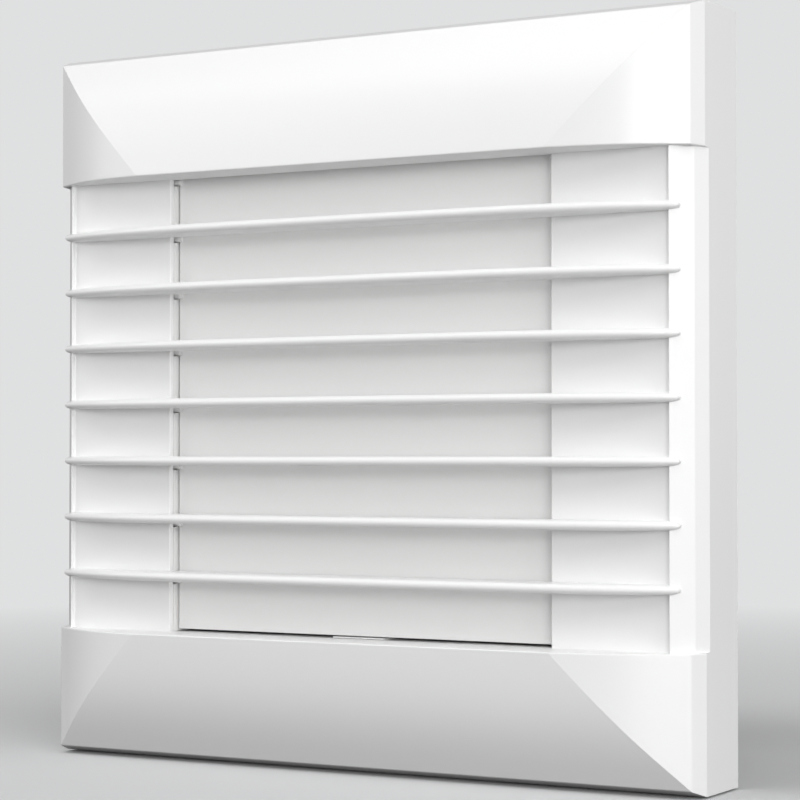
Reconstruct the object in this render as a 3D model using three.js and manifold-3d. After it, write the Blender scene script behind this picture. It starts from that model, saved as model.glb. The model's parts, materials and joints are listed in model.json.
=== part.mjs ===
import * as THREE from 'three';
import { mergeVertices } from 'three/addons/utils/BufferGeometryUtils.js';
import Module from 'manifold-3d';

const wasm = await Module();
wasm.setup();

// Window exhaust fan with shutters that open by themselves, in millimetres, +Z up.
// The room is in front at -Y and the open air behind at +Y. The origin is the centre of the
// hole in the pane, on the pane's room face, which is the plane y = 0.

// ---------------------------------------------------------------- driving dimensions
const gap = 0.3;                  // seat clearance between two pieces that touch
const over = 1;                   // how far a cutting shape reaches past the face that it cuts
const bite = 0.5;                 // how far a joined shape reaches into its neighbour
const paneThickness = 20;         // double-glazed pane that the fan clamps on

// front cover
const faceSize = 190;             // square face, over its side walls
const sideDepth = 19.5;           // straight side wall, pane to rim
const coverWall = 2;
const sideRound = [[0, 2.2], [0.4, -1], [1.4, -3.5]];   // side wall's front edge, [inward, from rim]
const upperBandHeight = 35.2;
const lowerBandHeight = 34.1;
const shoulderRun = 4;            // rounded edge of a band, inward from the side wall
const shoulderRise = 6.6;         // and forward from the rim
const bandRise = 16.75;           // forward from the rim at a band's inner lip
const wingRise = 5.7;             // wing floor, forward from the rim
const wingWall = 1.5;
const rimWidth = 6.6;             // raised side rim beside each wing
const rimRise = 7.4;
const openingHalfWidth = 56.7;
const slatThickness = 2.4;
const slatMiddleRise = 16;        // front edge of a slat at the middle of the face
const slatTipRise = 7;            // and at its tips
const slatTipInset = 4;           // tips stop this far inside the side walls
const slatBackRise = 5.4;

// shutter flaps
const flapCount = 8;
const flapGap = 0.3;              // between two closed flaps
const flapThickness = 1.4;
const flapSideGap = 0.6;
const flapLap = 0.8;              // a flap's back half reaches this far down behind the next flap
const lapThickness = 0.55;        // of each half where two flaps lap
const flapHideAbove = 1.52;       // the top flap reaches this far behind the upper band
const sillGap = 0.6;              // dark gap under the lowest flap
const pivotBelowTop = 1.8;        // pivot axis under a flap's top edge
const pivotDepth = -2.5;          // pivot axis behind the rim plane (negative: in front of it)
const flapFaceDepth = -2.1;       // front face of a closed flap
const knuckleRadius = 1;          // of the thickening round a flap's pin, at each end
const knuckleLength = 3;
const pinRadius = 0.9;
const slatAbovePivot = 1.25;
const flapOpenAngle = 80;         // degrees from closed to open
const crankRadius = 7;
const crankWidth = 2.6;
const crankThickness = 2;
const crankClearance = 0.5;       // from the frame's outer side
const crankPinRadius = 1.2;

// shutter frame and link
const railWall = 3;
const frameClearance = 1.8;       // between the frame's back and the heads of the clamp screws
const sillWall = 2;
const sillDepth = 9.9;
const stopTabWidth = 15.2;
const linkWidth = 5;
const linkThickness = 3;

// thermal actuator
const actuatorBesideLink = 4.2;   // its axis, outside the link's inner face
const plungerHeadRadius = 3.5;
const plungerHeadThickness = 1.5;
const plungerRodRadius = 1.5;
const bracketWall = 1.5;
const springLength = 15;
const springRadius = 3;
const springWire = 0.8;
const springTurns = 5;
const collarThickness = 1.5;
const actuatorRadius = 6;
const actuatorLength = 11;
const actuatorNeckRadius = 5;
const actuatorFloor = 1.5;        // under the bore of the plunger

// fan housing, pane clamp and outer shroud
const plateThickness = 2.7;
const tubeRadius = 62.5;          // duct size 125
const tubeWall = 2;
const tubeLength = 60;            // behind the pane's room face
const gasketThickness = 2;
const gasketOutsideClamp = 4.5;   // both gaskets' inner edge, outside the circle of the clamp screws
const outerGasketWidth = 9;
const roomGasketWidth = 11;
const flangeThickness = 3;
const shroudEndStep = 4;          // the shroud's end is this much larger in radius than the duct
const shroudWall = 2;
const shroudTaper = 11;           // its wide end is this much larger in radius
const shroudClearance = 0.7;      // round the duct
const louvreSeat = 7;             // depth of the louvre in the shroud's end
const louvreBehindTube = 1;
const clampOutsideTube = 4;       // circle of the clamp screws, outside the duct
const clampScrewRadius = 2;
const clampScrewCount = 3;
const clampHead = { radius: 3.6, height: 2.4 };

// motor and impeller
const motorRadius = 20;
const motorWall = 1.5;
const motorLength = 36;
const motorInset = 12;            // from the motor's back to the duct's end
const statorInset = 10;           // from each end of the motor to its stator
const shaftRadius = 2.5;
const impellerAhead = 5;          // the impeller starts this far in front of the motor
const impellerDepth = 19;
const hubClearance = 2.5;         // between the hub and the motor inside it
const hubWall = 2;
const hubChamfer = 3;
const hubBossRadius = 6;
const bladeTipGap = 2.5;          // between the blades and the duct
const bladeCount = 7;
const bladeThickness = 1.6;
const bladeChord = 26;
const bladeTaper = [0.78, 1.1];   // share of the chord at root and tip
const bladeCamber = 1.8;
const bladeSweep = 6;             // the tip leads the root by this much
const bladeRootPitch = 46;        // degrees from the plane of rotation
const bladeTipPitch = 27;
const bearingRadius = 7.5;
const bearingWidth = 4;
const bracketArmCount = 3;
const bracketArmWidth = 6;
const bracketThickness = 2.5;
const bracketPadRadius = 4;

const screwRadius = 1.5;          // small self-tapping screws
const screwHeadRadius = 3;
const screwHeadHeight = 1.7;

// ---------------------------------------------------------------- places worked out from them
const half = faceSize / 2;
const rim = -sideDepth;
const depth = (d) => rim + d;     // y of a point that lies d behind the rim plane
const zoneTop = half - upperBandHeight;
const zoneBottom = lowerBandHeight - half;

const flapStackTop = zoneTop + flapHideAbove;
const flapStackBottom = zoneBottom + sillGap;
const flapPitch = (flapStackTop + flapGap - flapStackBottom) / flapCount;
const flapHalfWidth = openingHalfWidth - flapSideGap;
const pivotY = depth(pivotDepth);
const pivotZ = (i) => flapStackTop - pivotBelowTop - flapPitch * i;

const plateFront = -gasketThickness - gap - plateThickness;
const plateBack = plateFront + plateThickness;
const plateHalf = half - coverWall - 0.7;
const frameFront = depth(gap - wingRise + wingWall);
const frameBack = plateFront - gap - clampHead.height - frameClearance;
const railOuterX = openingHalfWidth + railWall;
// the back corner of a flap's top edge swings up this far over its pivot
const flapBackFromPivot = flapFaceDepth - pivotDepth + flapThickness;
const topRailZ = pivotZ(0) + Math.hypot(flapBackFromPivot, pivotBelowTop) + gap;

const crankAngle = THREE.MathUtils.degToRad(flapOpenAngle / 2);
const crankPinY = crankRadius * Math.cos(crankAngle);      // from the pivot, closed
const crankPinZ = -crankRadius * Math.sin(crankAngle);
const linkBulge = crankRadius - crankPinY;
const crankX = railOuterX + crankClearance;
const linkX = crankX + crankThickness + gap;
const actuatorX = linkX + actuatorBesideLink;

const tubeBore = tubeRadius - tubeWall;
const clampRadius = tubeRadius + clampOutsideTube;
const gasketInnerRadius = clampRadius + gasketOutsideClamp;
const roomGasketRadius = gasketInnerRadius + roomGasketWidth;
const flangeRadius = gasketInnerRadius + outerGasketWidth;
const shroudEndRadius = tubeRadius + shroudEndStep;
const shroudLength = tubeLength + louvreBehindTube + louvreSeat;
const outerGasketFront = paneThickness;
const flangeFront = outerGasketFront + gasketThickness + gap;
const flangeBack = flangeFront + flangeThickness;
const motorBack = tubeLength - motorInset;
const motorFront = motorBack - motorLength;
const impellerFront = motorFront - impellerAhead;
const hubRadius = motorRadius + hubClearance + hubWall;
const bladeRadius = tubeBore - bladeTipGap;

// ---------------------------------------------------------------- materials
const finish = (name, color, roughness, metalness = 0) => {
  const material = new THREE.MeshStandardMaterial({ color, roughness, metalness });
  material.name = name;
  return material;
};
const whiteGloss = () => finish('white gloss plastic', 0xf1f1ef, 0.28);
const whiteSatin = () => finish('white satin plastic', 0xececea, 0.42);
const greyPlastic = () => finish('grey plastic', 0x8b8f93, 0.5);
const darkPlastic = () => finish('dark plastic', 0x2b2d30, 0.5);
const steel = () => finish('bright steel', 0xb9bcc0, 0.3, 1);
const motorSteel = () => finish('motor steel', 0x9da2a7, 0.4, 1);
const lamination = () => finish('electrical steel', 0x6b6e72, 0.55, 1);
const copper = () => finish('enamelled copper', 0xb4652f, 0.35, 1);
const brass = () => finish('brass', 0xc6a15a, 0.3, 1);
const rubber = () => finish('black rubber', 0x1f2021, 0.8);
const foam = () => finish('sealing foam', 0x3c3e40, 0.95);

// sides of the polygons that stand for circles
const sides = { duct: 36, gasket: 28, motor: 24, round: 16, small: 12, pin: 8 };

// ---------------------------------------------------------------- shape helpers
// the geometry with its faces turned outward and only its positions kept
function closed(geometry) {
  const bare = geometry.clone();
  bare.deleteAttribute('normal');
  bare.deleteAttribute('uv');
  const merged = mergeVertices(bare, 1e-4);
  const p = merged.attributes.position;
  const index = merged.index.array;
  const a = new THREE.Vector3();
  const b = new THREE.Vector3();
  const c = new THREE.Vector3();
  const kept = [];
  let volume = 0;
  for (let i = 0; i < index.length; i += 3) {
    const [ia, ib, ic] = [index[i], index[i + 1], index[i + 2]];
    if (ia === ib || ib === ic || ic === ia) continue;
    kept.push(ia, ib, ic);
    a.fromBufferAttribute(p, ia);
    b.fromBufferAttribute(p, ib);
    c.fromBufferAttribute(p, ic);
    volume += a.dot(b.cross(c));
  }
  merged.setIndex(volume < 0 ? kept.reverse() : kept);
  return merged;
}

function solid(geometry) {
  const g = closed(geometry);
  return new wasm.Manifold(new wasm.Mesh({
    numProp: 3,
    vertProperties: new Float32Array(g.attributes.position.array),
    triVerts: new Uint32Array(g.index.array),
  }));
}

function geometryOf(manifold) {
  const mesh = manifold.getMesh();
  const geometry = new THREE.BufferGeometry();
  const positions = new Float32Array(mesh.vertProperties);
  geometry.setAttribute('position', new THREE.BufferAttribute(positions, 3));
  geometry.setIndex(new THREE.BufferAttribute(new Uint32Array(mesh.triVerts), 1));
  geometry.computeVertexNormals();
  return geometry;
}

const join = (...solids) => solids.reduce((sum, s) => sum.add(s));
const cut = (first, ...tools) => tools.reduce((rest, s) => rest.subtract(s), first);
const repeat = (count, make) => Array.from({ length: count }, (_, i) => make(i));

function box(x0, x1, y0, y1, z0, z1) {
  const g = new THREE.BoxGeometry(x1 - x0, y1 - y0, z1 - z0);
  g.translate((x0 + x1) / 2, (y0 + y1) / 2, (z0 + z1) / 2);
  return solid(g);
}

// a cylinder along an axis; a and b are its centre on the two other axes, in x, y, z order
function rod(axis, radius, from, to, a = 0, b = 0, facets = sides.round) {
  const g = new THREE.CylinderGeometry(radius, radius, to - from, facets);
  const middle = (from + to) / 2;
  if (axis === 'x') g.rotateZ(-Math.PI / 2).translate(middle, a, b);
  if (axis === 'y') g.translate(a, middle, b);
  if (axis === 'z') g.rotateX(Math.PI / 2).translate(a, b, middle);
  return solid(g);
}

// a closed profile of [radius, y] points turned about the y axis
function turned(profile, facets = sides.motor) {
  const points = [...profile, profile[0]].map(([r, y]) => new THREE.Vector2(r, y));
  return solid(new THREE.LatheGeometry(points, facets));
}
const ring = (outer, inner, y0, y1, facets = sides.motor) =>
  turned([[inner, y0], [outer, y0], [outer, y1], [inner, y1]], facets);

// a polygon extruded along an axis: its points are [y, z] along x and [x, y] along z
function prism(axis, points, from, to) {
  const shape = new THREE.Shape(points.map(([u, v]) => new THREE.Vector2(u, v)));
  const g = new THREE.ExtrudeGeometry(shape, { depth: to - from, bevelEnabled: false, steps: 1 });
  g.translate(0, 0, from);
  if (axis === 'x') g.rotateY(Math.PI / 2).rotateX(Math.PI / 2);
  return solid(g);
}

// the same shape at several turns about the fan axis
const around = (count, shape, firstAngle = 0) =>
  repeat(count, (i) => shape.rotate([0, firstAngle + (360 / count) * i, 0]));

// where a spot at this radius and angle of the fan axis lies, as [x, z]
const polar = (radius, degrees) => {
  const angle = THREE.MathUtils.degToRad(degrees);
  return [radius * Math.cos(angle), radius * Math.sin(angle)];
};

// screw along +Y: its head sits in front of y = seat, its shank ends at y = end
function screwY(x, z, seat, end,
  radius = screwRadius, head = screwHeadRadius, height = screwHeadHeight) {
  return join(rod('y', head, seat - height, seat, x, z, sides.small),
    rod('y', radius, seat - height / 2, end, x, z, sides.pin));
}

// ---------------------------------------------------------------- scene graph
const fan = new THREE.Group();
const assembly = (place = [0, 0, 0]) => {
  const group = new THREE.Group();
  group.position.set(...place);
  fan.add(group);
  return group;
};
function piece(group, name, shape, material, place = [0, 0, 0]) {
  const mesh = new THREE.Mesh(geometryOf(shape), material);
  mesh.name = name;
  mesh.position.set(...place);
  group.add(mesh);
  return mesh;
}

// like pieces, one at each spot, numbered from 1
function pieces(group, name, spots, make, material) {
  spots.forEach((spot, i) => piece(group, `${name}_${i + 1}`, make(spot), material));
}

// ---------------------------------------------------------------- front cover
// rise of a band over the rim plane, as [distance from the edge, rise] points
function bandCurve() {
  const v = (x, y) => new THREE.Vector2(x, y);
  const edge = new THREE.QuadraticBezierCurve(
    v(0, 0), v(shoulderRun * 0.15, shoulderRise * 0.7), v(shoulderRun, shoulderRise));
  const climb = bandRise - shoulderRise;
  const run = upperBandHeight - shoulderRun;
  const face = new THREE.CubicBezierCurve(
    v(shoulderRun, shoulderRise),
    v(shoulderRun + run * 0.337, shoulderRise + climb * 0.65),
    v(upperBandHeight - run * 0.487, bandRise - climb * 0.182),
    v(upperBandHeight, bandRise));
  const points = [...edge.getPoints(4), ...face.getPoints(9).slice(1)];
  return points.map((p) => [p.x, p.y]);
}

// cushion form: the smaller of the two rises wins, which draws the creases to the corners
function cushion(inset, back) {
  const h = half - inset;
  const front = rim + inset;
  const side = bandCurve().map(([t, rise]) => [h - t, front - rise]);
  const top = [h - upperBandHeight - shoulderRun, front - bandRise - 1];
  const right = [[h, back], ...side, top];
  const left = right.map(([u, y]) => [-u, y]).reverse();
  const outline = [...right, ...left];
  const acrossX = prism('z', outline, -h, h);
  const acrossZ = prism('x', outline.map(([u, y]) => [y, u]), -h, h);
  return acrossX.intersect(acrossZ);
}

function sideSection(sign) {
  const rimInner = half - rimWidth;
  const wallInner = half - coverWall;
  const outline = [
    [half, 0], ...sideRound.map(([inward, y]) => [half - inward, rim + y]),
    [rimInner, rim - rimRise], [rimInner, rim - wingRise],
    [openingHalfWidth, rim - wingRise], [openingHalfWidth, rim - wingRise + wingWall],
    [rimInner + 1, rim - wingRise + wingWall], [wallInner - 0.6, rim - 1],
    [wallInner, rim + sideRound[0][1]], [wallInner, 0],
  ];
  const overlap = coverWall / 2;
  return prism('z', outline.map(([x, y]) => [sign * x, y]),
    zoneBottom - overlap, zoneTop + overlap);
}

// fixed slat: flat underneath and on top, rounded along its curved front edge
function slat(z) {
  const tip = half - slatTipInset;
  const round = 0.45 * Math.min(slatThickness, slatTipRise - slatBackRise);
  const steps = 18;
  const front = repeat(steps + 1, (i) => {
    const x = -tip + (2 * tip * i) / steps;
    const fall = (slatMiddleRise - slatTipRise) * Math.abs(x / tip) ** 5;
    return new THREE.Vector2(x, rim - slatMiddleRise + fall);
  });
  const back = [tip, -tip].map((x) => new THREE.Vector2(x, rim - slatBackRise));
  const g = new THREE.ExtrudeGeometry(new THREE.Shape([...front, ...back]), {
    depth: slatThickness - 2 * round, bevelThickness: round, bevelSize: round, bevelOffset: -round,
    bevelSegments: 1, steps: 1,
  });
  g.translate(0, 0, z - slatThickness / 2 + round);
  return solid(g);
}

const innerFloor = coverWall - half;
const hookWidth = 8;
const hookThickness = 1.4;
const hookReach = 2;                // behind the housing's edge
const hookX = 44;
const lockX = 20;
const lockScrewY = plateFront - 2.5;
const lockPad = { half: 6, from: lockScrewY - 5, to: plateFront - gap, height: 2 };
const entryX = -17;
const entryY = plateFront - 6.5;
const entryRadius = 4.5;

function frontCover() {
  const shelfBack = pivotY - pivotBelowTop - gap;      // clear of the open top flap
  const all = half + 10;
  const zone = box(-all, all, rim - all, all, zoneBottom, zoneTop);
  const shelves = box(-all, all, rim - all, shelfBack, zoneBottom - coverWall, zoneTop + coverWall);
  const shell = cut(cushion(0, 0), zone, cut(cushion(coverWall, 10), shelves));
  const slats = repeat(flapCount - 1, (i) => slat(pivotZ(i + 1) + slatAbovePivot));
  const hooks = [-hookX, hookX].map((x) => box(x - hookWidth / 2, x + hookWidth / 2,
    plateBack + gap, plateBack + gap + hookThickness, plateHalf - hookReach, half - coverWall / 2));
  const pad = box(lockX - lockPad.half, lockX + lockPad.half, lockPad.from, lockPad.to,
    innerFloor - over, innerFloor + lockPad.height);
  const headHole = rod('z', screwHeadRadius + gap, -half - over, innerFloor, lockX, lockScrewY);
  const shankHole = rod('z', screwRadius + gap, innerFloor - over, innerFloor + lockPad.height + over,
    lockX, lockScrewY, sides.pin);
  const entry = rod('z', entryRadius, -half - over, innerFloor + over, entryX, entryY);
  const sidePieces = [sideSection(1), sideSection(-1)];
  return cut(join(shell, ...sidePieces, ...slats, ...hooks, pad), headHole, shankHole, entry);
}

const cover = assembly();
piece(cover, 'front_cover', frontCover(), whiteGloss());

// the screw sits up in the cover's lower edge and holds it to the housing
const lockBlockHeight = 11;
const lockBlock = { half: 5, top: innerFloor + lockBlockHeight };
const lockHeadTop = innerFloor - gap;
piece(cover, 'cover_lock_screw', join(
  rod('z', screwHeadRadius, lockHeadTop - screwHeadHeight + gap, lockHeadTop, lockX, lockScrewY, sides.small),
  rod('z', screwRadius, lockHeadTop - over, lockBlock.top - over, lockX, lockScrewY, sides.pin)), steel());

// ---------------------------------------------------------------- shutter frame
const frameLugX = 45;
const frameLugRadius = 4;
const lugThickness = 2;
const frameLug = { front: frameBack - lugThickness, back: frameBack };
const legEnd = plateFront - gap;    // the frame stands on the housing's plate on four short legs
const bottomRailZ = zoneBottom - sillWall;
const topRailOuterZ = topRailZ + railWall;
const frameLugSpots = [
  [-frameLugX, topRailOuterZ + frameLugRadius], [frameLugX, topRailOuterZ + frameLugRadius],
  [-frameLugX, bottomRailZ - frameLugRadius], [frameLugX, bottomRailZ - frameLugRadius],
];

function shutterFrame() {
  const sillBack = frameFront + sillDepth;
  const rails = [-1, 1].map((side) => box(
    ...[side * openingHalfWidth, side * railOuterX].sort((a, b) => a - b),
    frameFront, frameBack, bottomRailZ, topRailOuterZ));
  const topRail = box(-railOuterX, railOuterX, frameFront, frameBack, topRailZ, topRailOuterZ);
  const sill = box(-railOuterX, railOuterX, frameFront, sillBack, bottomRailZ, zoneBottom);
  const lugs = frameLugSpots.map(([x, z]) => {
    const reach = z > 0 ? [topRailZ, z] : [z, zoneBottom];
    const arm = box(x - frameLugRadius, x + frameLugRadius, frameLug.front, frameLug.back, ...reach);
    const web = box(x - frameLugRadius, x + frameLugRadius, sillBack - lugThickness, frameLug.back,
      z > 0 ? topRailZ : bottomRailZ, z > 0 ? topRailOuterZ : zoneBottom);
    return join(arm, web, rod('y', frameLugRadius, frameLug.front, legEnd, x, z, sides.small));
  });
  // raised pad in the middle of the sill, close under the lowest flap
  const tab = box(-stopTabWidth / 2, stopTabWidth / 2, depth(flapFaceDepth) - gap, sillBack,
    zoneBottom - 0.5, flapStackBottom - gap);
  const holes = frameLugSpots.map(([x, z]) =>
    rod('y', screwRadius + gap, frameLug.front - over, legEnd + over, x, z, sides.pin));
  // notches open to the front, where the flaps' pins snap in
  const slot = pinRadius + gap;
  const notches = repeat(flapCount, (i) => join(
    rod('x', slot, -railOuterX - over, railOuterX + over, pivotY, pivotZ(i), sides.pin),
    box(-railOuterX - over, railOuterX + over, frameFront - over, pivotY,
      pivotZ(i) - slot, pivotZ(i) + slot)));
  return cut(join(...rails, topRail, sill, ...lugs, tab), ...holes, ...notches);
}

const shutters = assembly();
piece(shutters, 'shutter_frame', shutterFrame(), whiteSatin());
pieces(shutters, 'frame_screw', frameLugSpots, ([x, z]) =>
  screwY(x, z, frameLug.front - gap, plateBack), steel());

// ---------------------------------------------------------------- flaps, drawn about their own pivot axis
function flap(lapped) {
  const face = flapFaceDepth - pivotDepth;
  const back = face + flapThickness;
  const bottom = pivotBelowTop + flapGap - flapPitch;
  const crankPin = { y: crankPinY, z: crankPinZ };
  const board = box(-flapHalfWidth, flapHalfWidth, face, back, bottom, pivotBelowTop);
  // the flap above laps behind the top edge, and this one behind the next
  const rebate = box(-openingHalfWidth, openingHalfWidth, face + lapThickness, back + over,
    pivotBelowTop - flapLap, pivotBelowTop + over);
  const tongue = box(-flapHalfWidth, flapHalfWidth, back - lapThickness, back,
    bottom - flapLap, bottom + bite);
  const plate = lapped ? join(cut(board, rebate), tongue) : cut(board, rebate);
  const knuckles = [-flapHalfWidth, flapHalfWidth - knuckleLength].map((x) =>
    rod('x', knuckleRadius, x, x + knuckleLength, 0, 0, sides.pin));
  const leftPin = rod('x', pinRadius, gap - railOuterX, gap - flapHalfWidth, 0, 0, sides.pin);
  const rightPin = rod('x', pinRadius, flapHalfWidth - gap, crankX + bite, 0, 0, sides.pin);
  const reach = Math.hypot(crankPin.y, crankPin.z);
  const along = [crankPin.y / reach, crankPin.z / reach];
  const across = [-along[1] * crankWidth / 2, along[0] * crankWidth / 2];
  const arm = prism('x', [
    [across[0], across[1]], [-across[0], -across[1]],
    [crankPin.y - across[0], crankPin.z - across[1]], [crankPin.y + across[0], crankPin.z + across[1]],
  ], crankX, crankX + crankThickness);
  const bosses = [[0, 0], [crankPin.y, crankPin.z]].map(([y, z]) =>
    rod('x', crankWidth / 2, crankX, crankX + crankThickness, y, z, sides.pin));
  const pin = rod('x', crankPinRadius, crankX + bite, linkX + linkThickness + over,
    crankPin.y, crankPin.z, sides.pin);
  return join(plate, ...knuckles, leftPin, rightPin, arm, ...bosses, pin);
}

repeat(flapCount, (i) => piece(shutters, `flap_${i + 1}`, flap(i < flapCount - 1), whiteSatin(),
  [0, pivotY, pivotZ(i)]));

// ---------------------------------------------------------------- link bar, drawn about the top crank pin
const linkEnd = 3;
const linkBottom = -flapPitch * (flapCount - 1) - linkEnd;
const footThickness = 1.6;
const linkPlace = [0, pivotY + crankPinY, pivotZ(0) + crankPinZ];

function linkBar() {
  const bar = box(linkX, linkX + linkThickness, -linkWidth / 2, linkWidth / 2, linkBottom, linkEnd);
  const foot = box(linkX, actuatorX + plungerHeadRadius, -linkWidth / 2, linkWidth / 2,
    linkBottom - footThickness, linkBottom + bite);
  const holes = repeat(flapCount, (i) =>
    rod('x', crankPinRadius + gap, linkX - over, linkX + linkThickness + over, 0, -flapPitch * i, sides.pin));
  return cut(join(bar, foot), ...holes);
}
piece(shutters, 'link_bar', linkBar(), whiteSatin(), linkPlace);

// ---------------------------------------------------------------- thermal actuator under the link bar
const actuatorY = linkPlace[1] + linkBulge / 2;
const footZ = linkPlace[2] + linkBottom - footThickness;
const headTop = footZ - gap;
const bracketTop = headTop - plungerHeadThickness - gap;
const springTop = bracketTop - bracketWall - gap;
const collarTop = springTop - springLength - gap;
const actuatorTop = collarTop - collarThickness - gap;
const actuatorBottom = actuatorTop - actuatorLength;
const saddleZ = actuatorTop - actuatorLength * 0.7;
const bracketBack = plateFront - gap - bracketWall;      // front face of its back plate
const bracketHalf = 6.5;
const bracketScrewSpots = [bracketTop - 5, bracketTop - 15].map((z) => [actuatorX, z]);

function actuatorBracket() {
  const x0 = actuatorX - bracketHalf;
  const x1 = actuatorX + bracketHalf;
  const front = actuatorY - bracketHalf;
  const backPlate = box(x0, x1, bracketBack, bracketBack + bracketWall, actuatorBottom + 2, bracketTop);
  const top = box(x0, x1, front, bracketBack + bracketWall, bracketTop - bracketWall, bracketTop);
  const saddle = box(x0, x1, front, bracketBack + bracketWall, saddleZ - bracketWall, saddleZ);
  const rodHole = rod('z', plungerRodRadius + gap, bracketTop - bracketWall - over, bracketTop + over,
    actuatorX, actuatorY, sides.pin);
  const bodyHole = rod('z', actuatorNeckRadius + gap, saddleZ - bracketWall - over, saddleZ + over,
    actuatorX, actuatorY);
  const holes = bracketScrewSpots.map(([x, z]) =>
    rod('y', screwRadius + gap, bracketBack - over, bracketBack + bracketWall + over, x, z, sides.pin));
  return cut(join(backPlate, top, saddle), rodHole, bodyHole, ...holes);
}

function actuatorBody() {
  const barrel = rod('z', actuatorRadius, saddleZ + gap, actuatorTop, actuatorX, actuatorY);
  const neck = rod('z', actuatorNeckRadius, actuatorBottom, saddleZ + over, actuatorX, actuatorY);
  const bore = rod('z', plungerRodRadius + gap, actuatorBottom + actuatorFloor, actuatorTop + over,
    actuatorX, actuatorY, sides.pin);
  return cut(join(barrel, neck), bore);
}

function plunger() {
  const head = rod('z', plungerHeadRadius, headTop - plungerHeadThickness, headTop, actuatorX, actuatorY);
  const shaft = rod('z', plungerRodRadius, actuatorBottom + actuatorFloor + gap, headTop - bite,
    actuatorX, actuatorY, sides.pin);
  const collar = rod('z', springRadius + springWire, collarTop - collarThickness, collarTop,
    actuatorX, actuatorY);
  return join(head, shaft, collar);
}

class Helix extends THREE.Curve {
  constructor(radius, length, turns) {
    super();
    Object.assign(this, { radius, length, turns });
  }

  getPoint(t, target = new THREE.Vector3()) {
    const angle = 2 * Math.PI * this.turns * t;
    return target.set(this.radius * Math.cos(angle), this.radius * Math.sin(angle), this.length * t);
  }
}

function returnSpring() {
  const wire = springWire / 2;
  const curve = new Helix(springRadius, springLength - 2 * wire, springTurns);
  const section = new THREE.Shape().absarc(0, 0, wire, 0, 2 * Math.PI);
  const g = new THREE.ExtrudeGeometry(section, {
    extrudePath: curve, steps: springTurns * 8, curveSegments: 3, bevelEnabled: false,
  });
  g.translate(actuatorX, actuatorY, springTop - springLength + wire);
  return solid(g);
}

const actuator = assembly();
piece(actuator, 'actuator_bracket', actuatorBracket(), steel());
piece(actuator, 'actuator_body', actuatorBody(), brass());
piece(actuator, 'actuator_plunger', plunger(), steel());
piece(actuator, 'return_spring', returnSpring(), steel());
pieces(actuator, 'actuator_screw', bracketScrewSpots, ([x, z]) =>
  screwY(x, z, bracketBack - gap, plateBack), steel());

// ---------------------------------------------------------------- fan housing
const ledgeFront = motorBack + gap + bracketThickness + gap;
const padBack = ledgeFront + 3.4;
const padCircle = tubeBore - bracketPadRadius - 0.8;
const armAngle = 30;
const padSpots = repeat(bracketArmCount, (i) => polar(padCircle, armAngle + (360 / bracketArmCount) * i));
const clampAngle = 90;
const clampSpots = repeat(clampScrewCount, (i) =>
  polar(clampRadius, clampAngle + (360 / clampScrewCount) * i));
const leadAngle = -112;
const leadRadius = 1.6;
const leadCircle = tubeRadius + leadRadius + 0.9;
const leadExitY = motorBack - 4;
const leadSlack = 1;                // room round the lead where it passes a wall
const [leadX, leadZ] = polar(leadCircle, leadAngle);

function fanHousing() {
  const plate = cut(box(-plateHalf, plateHalf, plateFront, plateBack, -plateHalf, plateHalf),
    rod('y', tubeBore, plateFront - over, plateBack + over, 0, 0, sides.duct));
  const tube = ring(tubeRadius, tubeBore, plateFront, tubeLength, sides.duct);
  const pads = padSpots.map(([x, z]) =>
    rod('y', bracketPadRadius, ledgeFront, padBack, x, z, sides.small));
  const inTube = rod('y', tubeBore + over, ledgeFront, padBack, 0, 0, sides.duct);
  const outward = (tubeBore - tubeWall) / padCircle;
  const padWebs = padSpots.map(([x, z]) =>
    rod('y', bracketPadRadius, ledgeFront, padBack, x * outward, z * outward).intersect(inTube));
  const block = box(lockX - lockBlock.half, lockX + lockBlock.half, lockPad.from + over, plateFront + over,
    innerFloor + lockPad.height + gap, lockBlock.top);
  const screwHoles = [...frameLugSpots, ...bracketScrewSpots].map(([x, z]) =>
    rod('y', screwRadius + gap, plateFront - over, plateBack + over, x, z, sides.pin));
  const padHoles = padSpots.map(([x, z]) =>
    rod('y', screwRadius + gap, ledgeFront - over, padBack + over, x, z, sides.pin));
  const clampHoles = clampSpots.map(([x, z]) =>
    rod('y', clampScrewRadius + gap, plateFront - over, plateBack + over, x, z, sides.pin));
  const lockHole = rod('z', screwRadius + gap, innerFloor, lockBlock.top + over,
    lockX, lockScrewY, sides.pin);
  const leadHole = rod('y', leadRadius + leadSlack, plateFront - over, plateBack + over,
    leadX, leadZ, sides.pin);
  const leadPort = rod('x', leadRadius + leadSlack, tubeBore - tubeWall, tubeRadius + tubeWall,
    leadExitY - gap, 0, sides.pin).rotate([0, -leadAngle, 0]);
  return cut(join(plate, tube, ...pads, ...padWebs, block),
    ...screwHoles, ...padHoles, ...clampHoles, lockHole, leadHole, leadPort);
}

const housing = assembly();
piece(housing, 'fan_housing', fanHousing(), whiteSatin());
piece(housing, 'room_gasket', ring(
  roomGasketRadius, gasketInnerRadius, -gasketThickness, 0, sides.gasket), foam());

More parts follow.
